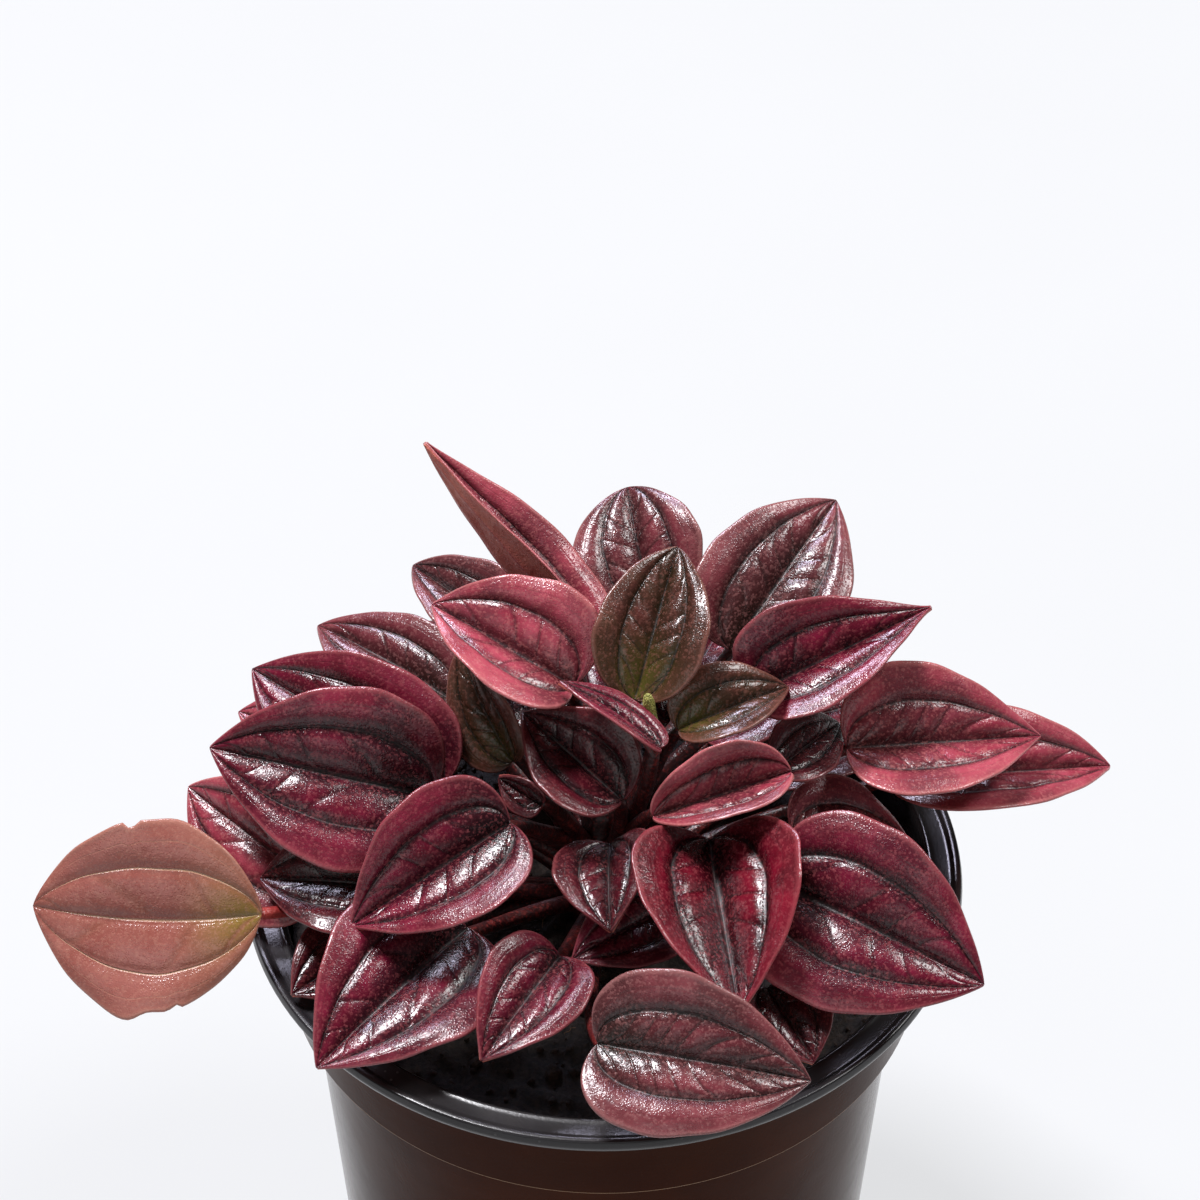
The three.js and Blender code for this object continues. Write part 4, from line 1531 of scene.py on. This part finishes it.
    def mesh(self, name: str, top: Material, under: Material) -> Thing:
        """The closed blade.

        Args:
            name: Name of the object.
            top: Material of the upper side and the rim.
            under: Material of the underside.

        Returns:
            The object.
        """
        rows, columns = self.ROWS, self.COLUMNS
        inner = (1 - np.cos(np.pi * np.arange(1, rows) / rows)) / 2
        wide = np.linspace(-1, 1, columns)
        wide = np.sign(wide) * (1 - (1 - np.abs(wide)) ** self.CROWDING)
        share, across = np.meshgrid(inner, wide, indexing="ij")
        share = np.concatenate([[0.0], share.ravel(), [1.0]])
        across = np.concatenate([[0.0], across.ravel(), [0.0]])
        upper, normal = self.upper(share, across)
        thick = self.THICKNESS * (1 - self.THINNING * np.abs(across) ** 8)
        lower = upper - normal * thick[:, None]
        last, below = len(share) - 1, len(share)
        starts = range(1, last, columns)
        faces: Faces = []
        for j in range(columns - 1):
            faces.append((0, 1 + j, 2 + j))
            faces += [(a + j, a + columns + j, a + columns + j + 1, a + j + 1) for a in starts[:-1]]
            faces.append((starts[-1] + j, last, starts[-1] + j + 1))
        above = len(faces)
        faces += [tuple(below + k for k in reversed(face)) for face in faces]
        points, shares, sides = [upper, lower], [share, share], [across, across]
        size = 2 * below
        for column, sign in ((0, -1), (columns - 1, 1)):
            edge = [0, *(a + column for a in starts), last]
            inward = [0, *(a + column - sign for a in starts), last]
            out = upper[edge] - upper[inward]
            out /= np.linalg.norm(out, axis=1, keepdims=True) + 1e-9
            out[[0, -1]] = [-self.along, self.along]
            middle = (upper[edge] + lower[edge]) / 2 + out * self.RIM_BULGE
            middle[[0, -1]] = (upper[[0, last]] + lower[[0, last]]) / 2
            points.append(middle)
            shares.append(share[edge])
            sides.append(np.full(len(edge), float(sign)))
            for k, (a, b) in enumerate(zip(edge, edge[1:]), start=size):
                strip = [(a, k, k + 1, b), (k, below + a, below + b, k + 1)]
                faces += strip if sign < 0 else [tuple(reversed(face)) for face in strip]
            size += len(edge)
        blade = mesh_object(name, (np.concatenate(points) * MM).tolist(), faces, top, under)
        self.dress(blade, np.concatenate(shares), np.concatenate(sides), above)
        return blade

    def dress(self, blade: Thing, share: Array, across: Array, above: int) -> None:
        """Gives the blade its material areas, UV map and cross-vein attribute.

        Args:
            blade: The blade.
            share: Share of the length of each point.
            across: Place across of each point.
            above: Number of faces on the upper side, and on the underside.
        """
        mesh = blade.data
        index = np.zeros(len(mesh.polygons), np.int32)
        index[above:2 * above] = 1
        mesh.polygons.foreach_set("material_index", index)
        corner = np.zeros(len(mesh.loops), np.int32)
        mesh.loops.foreach_get("vertex_index", corner)
        uv = np.stack([share[corner], (across[corner] + 1) / 2], axis=1)
        mesh.uv_layers.new(name=BLADE_UV).uv.foreach_set("vector", uv.ravel())
        phase = mesh.attributes.new(CROSS_PHASE, "FLOAT", "POINT")
        phase.data.foreach_set("value", self.phase(share, across))
        face_out(blade)


class Rosette:
    """All the leaf blades."""

    YOUNG = (7, 12, 15)

    def __init__(self) -> None:
        """Lays out every blade."""
        leaves = [*LEAVES, *BackRow().leaves()]
        self.blades = [Blade(leaf, number) for number, leaf in enumerate(leaves, start=1)]

    def build(self, effects: Effects) -> None:
        """Builds and dresses the blades.

        Args:
            effects: The shared shader groups.
        """
        tops = {tone: finish.material(effects) for tone, finish in BLADE_FINISHES.items()}
        under = UNDER_FINISH.material(effects)
        for blade in self.blades:
            tone, number = blade.leaf.tone, blade.number
            slot = "leaf_faded" if tone is Tone.FADED else "leaf"
            thing = blade.mesh(f"blade_{number:02d}", tops[tone], under)
            shown(thing, "leaf_young" if number in self.YOUNG else slot, f"leaf_{number:02d}")


# ---- Flower spike, stalks and crown -----------------------------------------------------------


@dataclass
class FlowerSpike:
    """The short flower spike in bud, beaded all over.

    Args:
        radius: Its radius.
        base: Where it starts.
        tip: Where it ends.
        bead_radius: Radius of one bead.
        spacing: Least distance between two beads.
        density: Most beads per square metre.
        seed: Seed of the beads.
        segments: Steps round it.
    """

    radius: float = 1.1
    base: Triple = (8.0, 0.0, 130.0)
    tip: Triple = (7.0, 0.0, 139.0)
    bead_radius: float = 0.17
    spacing: float = 0.27
    density: float = 3.0e7
    seed: int = 5
    segments: int = 20

    # Radius and height of its rings, as shares of its radius and length, and the height of its end
    PROFILE = ((0.7, 0.02), (0.82, 0.1), (0.9, 0.3), (0.86, 0.6), (0.78, 0.8), (0.55, 0.93), (0.25, 0.98))
    END = 0.985

    def core(self, material: Material) -> Thing:
        """The finger under the beads.

        Args:
            material: Its material.

        Returns:
            The object.
        """
        base, tip = Vector(self.base), Vector(self.tip)
        length = (tip - base).length
        turn = (tip - base).normalized().to_track_quat("Z", "Y").to_matrix().to_4x4()
        place = Matrix.Translation(base) @ turn
        rings = [[place @ Vector((share * self.radius * math.cos(a), share * self.radius * math.sin(a),
                                  height * length)) * MM for a in around(self.segments)]
                 for share, height in self.PROFILE]
        poles = [place @ Vector((0, 0, end * length)) * MM for end in (0, self.END)]
        return wrapped("spike_core", poles, rings, material)

    def build(self, effects: Effects) -> None:
        """Builds and dresses the spike.

        Args:
            effects: The shared shader groups.
        """
        skin = BUD_FINISH.material(effects)
        w = NodeShape("spike_beads", {"Bead Radius": self.bead_radius * MM, "Spacing": self.spacing * MM})
        given = w.given
        spots = w.add("GeometryNodeDistributePointsOnFaces", {
            "Mesh": given["Geometry"], "Distance Min": given["Spacing"], "Density Max": self.density,
            "Seed": self.seed}, distribute_method="POISSON")
        bead = w.add("GeometryNodeMeshIcoSphere", {"Radius": given["Bead Radius"], "Subdivisions": 1})
        beads = w.add("GeometryNodeInstanceOnPoints", {"Points": spots, "Instance": bead})
        both = w.add("GeometryNodeJoinGeometry", {0: beads})
        w.feed(both, {0: given["Geometry"]})
        shown(w.make("spike_bud", self.core(skin), both, skin), "spike", "flower_spike")


@dataclass
class Stalks:
    """The crown and the stalks that carry the leaves and the flower spike.

    Args:
        neck_radius: Radius of the crown's neck.
        neck_foot: Height of its foot.
        shoulder: Height where it starts to narrow.
        crown_top: Height of its top.
        crown_top_radius: Radius at its top.
        root_radius: Radius of a stalk at its root.
        tip_radius: Radius under the blade.
        spike_tip_radius: Radius under the flower spike.
        lowest: Lowest root.
        highest: Highest root.
        rise: From root to blade.
        root_offset: Distance of a root from the axis.
        clearance: Between the solid's stalk and its blade.
        steps: Points along a stalk.
        sides: Faces round a stalk.
        crown_rings: Rings of points on the crown.
        crown_segments: Steps round the crown.
    """

    neck_radius: float = 6.0
    neck_foot: float = 76.0
    shoulder: float = 94.0
    crown_top: float = 113.0
    crown_top_radius: float = 3.2
    root_radius: float = 1.7
    tip_radius: float = 1.0
    spike_tip_radius: float = 0.8
    lowest: float = 92.0
    highest: float = 110.0
    rise: float = 18.0
    root_offset: float = 1.5
    clearance: float = 0.7
    steps: int = 22
    sides: int = 12
    crown_rings: int = 48
    crown_segments: int = 40

    # How a stalk runs on under the midrib: share of the blade, how deep it lies below the underside's
    # level, and its radius
    RUN_ON = ((0.06, 0.35, 0.85), (0.14, 0.05, 0.6), (0.26, -0.25, 0.3))
    # A stalk's inner control points, as shares of its span: out and up from the root, back from the end
    LEAVE_OUT, LEAVE_UP, ARRIVE = 0.25, 0.2, 0.3
    # Height of the crown's knobs as a share of its radius, and how much thinner than the solid it is
    KNOBS, SHRINK = 0.12, 0.2

    def path(self, end: Array, approach: Array) -> Array:
        """Points along a stalk from the crown.

        Args:
            end: Where it ends, in millimetres.
            approach: The way it points there.

        Returns:
            The points.
        """
        height = min(max(end[2] - self.rise, self.lowest), self.highest)
        outwards = np.array([end[0], end[1], 0.0])
        outwards /= np.linalg.norm(outwards)
        root = outwards * self.root_offset + np.array([0, 0, height])
        span = np.linalg.norm(end - root)
        leave = root + outwards * self.LEAVE_OUT * span + np.array([0, 0, self.LEAVE_UP * span])
        arrive = (end - root) / span + approach
        arrive = end - arrive / np.linalg.norm(arrive) * self.ARRIVE * span
        t = np.linspace(0, 1, self.steps)[:, None]
        return ((1 - t) ** 3 * root + 3 * (1 - t) ** 2 * t * leave
                + 3 * (1 - t) * t ** 2 * arrive + t ** 3 * end)

    def leaf_path(self, blade: Blade) -> tuple[Array, Array]:
        """The stalk of a leaf, which runs on under its midrib.

        Args:
            blade: The blade it carries.

        Returns:
            The points and the radius at each.
        """
        shares, depths, ends = zip(*self.RUN_ON)
        rib, normal = blade.upper(np.array([0.02, *shares]), np.zeros(1 + len(shares)))
        end = rib[0] - blade.up * (blade.THICKNESS + self.clearance)
        approach = blade.along * 0.5 + blade.up * blade.leaf.lift
        line = self.path(end, approach / np.linalg.norm(approach))
        more = rib[1:] - normal[1:] * (blade.THICKNESS + np.array(depths))[:, None]
        radii = np.linspace(self.root_radius, self.tip_radius, len(line))
        return np.concatenate([line, more]), np.concatenate([radii, ends])

    def spike_path(self, spike: FlowerSpike) -> tuple[Array, Array]:
        """The stalk of the flower spike.

        Args:
            spike: The spike.

        Returns:
            The points and the radius at each.
        """
        base, along = np.array(spike.base, float), np.array(spike.tip, float)
        along = (along - base) / np.linalg.norm(along - base)
        line = self.path(base - along * 0.3, along)
        line = np.concatenate([line, [base + along * 0.4]])
        return line, np.linspace(self.root_radius, self.spike_tip_radius, len(line))

    def tubes(self, blades: Sequence[Blade], spike: FlowerSpike, material: Material) -> Thing:
        """Every stalk as a round tube, swept by Geometry Nodes.

        Args:
            blades: The blades they carry.
            spike: The flower spike.
            material: Their material.

        Returns:
            The object.
        """
        curve = bpy.data.curves.new("stalk_paths", "CURVE")
        curve.dimensions = "3D"
        for line, radii in [*(self.leaf_path(b) for b in blades), self.spike_path(spike)]:
            spline = curve.splines.new("POLY")
            spline.points.add(len(line) - 1)
            for point, place, radius in zip(spline.points, line * MM, radii):
                point.co = (*place, 1.0)
                point.radius = float(radius)
        w = NodeShape("stalk_tubes", {"Skin Radius": 1.0 * MM})
        circle = w.add("GeometryNodeCurvePrimitiveCircle",
                       {"Resolution": self.sides, "Radius": w.given["Skin Radius"]})
        width = w.add("GeometryNodeInputNamedAttribute", {"Name": "radius"}, data_type="FLOAT")
        tube = w.add("GeometryNodeCurveToMesh", {
            "Curve": w.given["Geometry"], "Profile Curve": circle, "Scale": width, "Fill Caps": True})
        return w.make("stalk_tubes", placed("stalk_paths", curve), tube, material)

    def crown(self, material: Material) -> Thing:
        """The knobbly short stem.

        Args:
            material: Its material.

        Returns:
            The object.
        """
        foot, shoulder, top = self.neck_foot, self.shoulder, self.crown_top
        levels = [foot, shoulder, (shoulder + top) / 2, top, top + 0.8]
        widths = [self.neck_radius, self.neck_radius, self.neck_radius - 1, self.crown_top_radius, 1.2]
        rings = []
        for height in np.linspace(foot, top + 0.8, self.crown_rings):
            radius, ring = np.interp(height, levels, widths), []
            for a in around(self.crown_segments):
                knob = noise.noise(Vector((3 * math.cos(a), 3 * math.sin(a), height / 3)))
                ring.append(turned(radius * (1 + self.KNOBS * knob) - self.SHRINK, a, height))
            rings.append(ring)
        poles = [(0.0, 0.0, foot * MM), (0.0, 0.0, (top + 1) * MM)]
        return wrapped("crown_stem", poles, rings, material)

    def build(self, blades: Sequence[Blade], spike: FlowerSpike, effects: Effects) -> None:
        """Builds and dresses the crown and stalks.

        Args:
            blades: The blades they carry.
            spike: The flower spike.
            effects: The shared shader groups.
        """
        skin = STALK_FINISH.material(effects)
        whole = join("stalks_and_crown", self.tubes(blades, spike, skin), self.crown(skin))
        shown(whole, "stalk", "crown_and_stalks")


# ---- Studio -----------------------------------------------------------------------------------


@dataclass(frozen=True)
class Softbox:
    """One soft studio light.

    Args:
        name: Its name.
        place: Where it stands, in metres.
        size: Width and height in metres.
        power: Its power in watts.
        tint: Its linear colour.
        sheen_only: Whether it shows in mirrored light alone.
    """

    name: str
    place: Triple
    size: tuple[float, float]
    power: float
    tint: Triple = (1.0, 1.0, 1.0)
    sheen_only: bool = False

    # What it points at
    AIM = Vector((0.0, 0.0, 0.12))

    def build(self) -> None:
        """Places the light."""
        light = bpy.data.lights.new(self.name, "AREA")
        light.shape = "RECTANGLE"
        light.size, light.size_y = self.size
        light.energy = self.power
        light.color = self.tint
        thing = placed(self.name, light)
        thing.location = self.place
        thing.visible_diffuse = not self.sheen_only
        thing.rotation_euler = (Vector(self.place) - self.AIM).to_track_quat("Z", "Y").to_euler()


@dataclass
class Studio:
    """The pale floor, the soft lights and the camera.

    Args:
        lights: The soft lights.
        camera_place: Where the camera stands, in metres.
        right: The picture's right in the row's frame.
        down: The picture's down.
        forward: The way the camera looks.
        focal_pixels: Focal length in pixels of the photograph.
        picture_pixels: The photograph's width in pixels.
        sensor: Width of the camera's sensor.
        floor_reach: How far the floor reaches from the axis, in metres.
        floor_glow: Strength of the floor's own light.
        air_glow: Strength of the light from all round.
        white: Colour of the background.
    """

    lights: tuple[Softbox, ...] = (
        Softbox("key_back_left", (-0.42, 0.36, 1.36), (0.36, 0.3), 28.0, (0.97, 0.96, 1.0)),
        Softbox("side_right", (0.8, 0.2, 1.2), (0.4, 0.4), 11.0),
        Softbox("back_sheen", (-0.25, 0.95, 0.95), (0.5, 0.25), 14.0, (0.8, 0.78, 1.0), True),
        Softbox("fill_front", (-0.3, -1.4, 0.9), (1.2, 0.8), 3.0),
    )
    camera_place: Triple = (0.0, -0.41427, 0.53403)
    right: Triple = (1.0, 0.0007, -0.0008)
    down: Triple = (-0.0001, -0.6708, -0.7416)
    forward: Triple = (-0.0010, 0.7416, -0.6708)
    focal_pixels: float = 3575.2
    picture_pixels: float = 1200.0
    sensor: float = 36.0
    floor_reach: float = 4.0
    floor_glow: float = 0.7
    air_glow: float = 0.08
    white: Colour = (246, 247, 249)

    def camera(self) -> None:
        """Places the camera at the photograph's viewpoint."""
        lens = bpy.data.cameras.new("photo_camera")
        lens.sensor_width = self.sensor
        lens.lens = self.focal_pixels / self.picture_pixels * self.sensor
        lens.clip_start, lens.clip_end = 0.01, 50.0
        thing = placed("photo_camera", lens)
        axes = Matrix((self.right, tuple(-c for c in self.down), tuple(-c for c in self.forward)))
        turn = axes.transposed().to_quaternion().normalized()
        thing.matrix_world = Matrix.Translation(self.camera_place) @ turn.to_matrix().to_4x4()
        bpy.context.scene.camera = thing

    def floor(self) -> None:
        """Lays the pale floor."""
        w = Skin("pale_floor")
        w.feed(w.shader, {
            "Base Color": w.blend(w.grain(8.0, 2.0), (112, 113, 115), (118, 119, 121)),
            "Roughness": 0.9, "Specular IOR Level": 0.1,
            "Emission Color": linear(self.white), "Emission Strength": self.floor_glow})
        reach = self.floor_reach
        corners = [(-reach, -reach, 0), (reach, -reach, 0), (reach, reach, 0), (-reach, reach, 0)]
        floor = mesh_object("pale_floor", corners, [(0, 1, 2, 3)], w.material)

    def build(self) -> None:
        """Builds the studio."""
        self.camera()
        self.floor()
        for light in self.lights:
            light.build()
        world = bpy.data.worlds.new("studio_air")
        world.use_nodes = True
        air = world.node_tree.nodes["Background"]
        Wiring(world.node_tree).feed(air, {"Color": linear(self.white), "Strength": self.air_glow})
        bpy.context.scene.world = world
        bpy.context.scene.view_settings.view_transform = "Standard"


def main() -> None:
    """Builds every sub-assembly."""
    logging.basicConfig(level=logging.INFO, format="%(name)s %(message)s")
    effects = Effects()
    Studio().build()
    pot, rosette, spike = Pot(), Rosette(), FlowerSpike()
    pot.build(effects)
    Soil(pot).build(effects)
    rosette.build(effects)
    Stalks().build(rosette.blades, spike, effects)
    spike.build(effects)


if __name__ == "__main__":
    main()
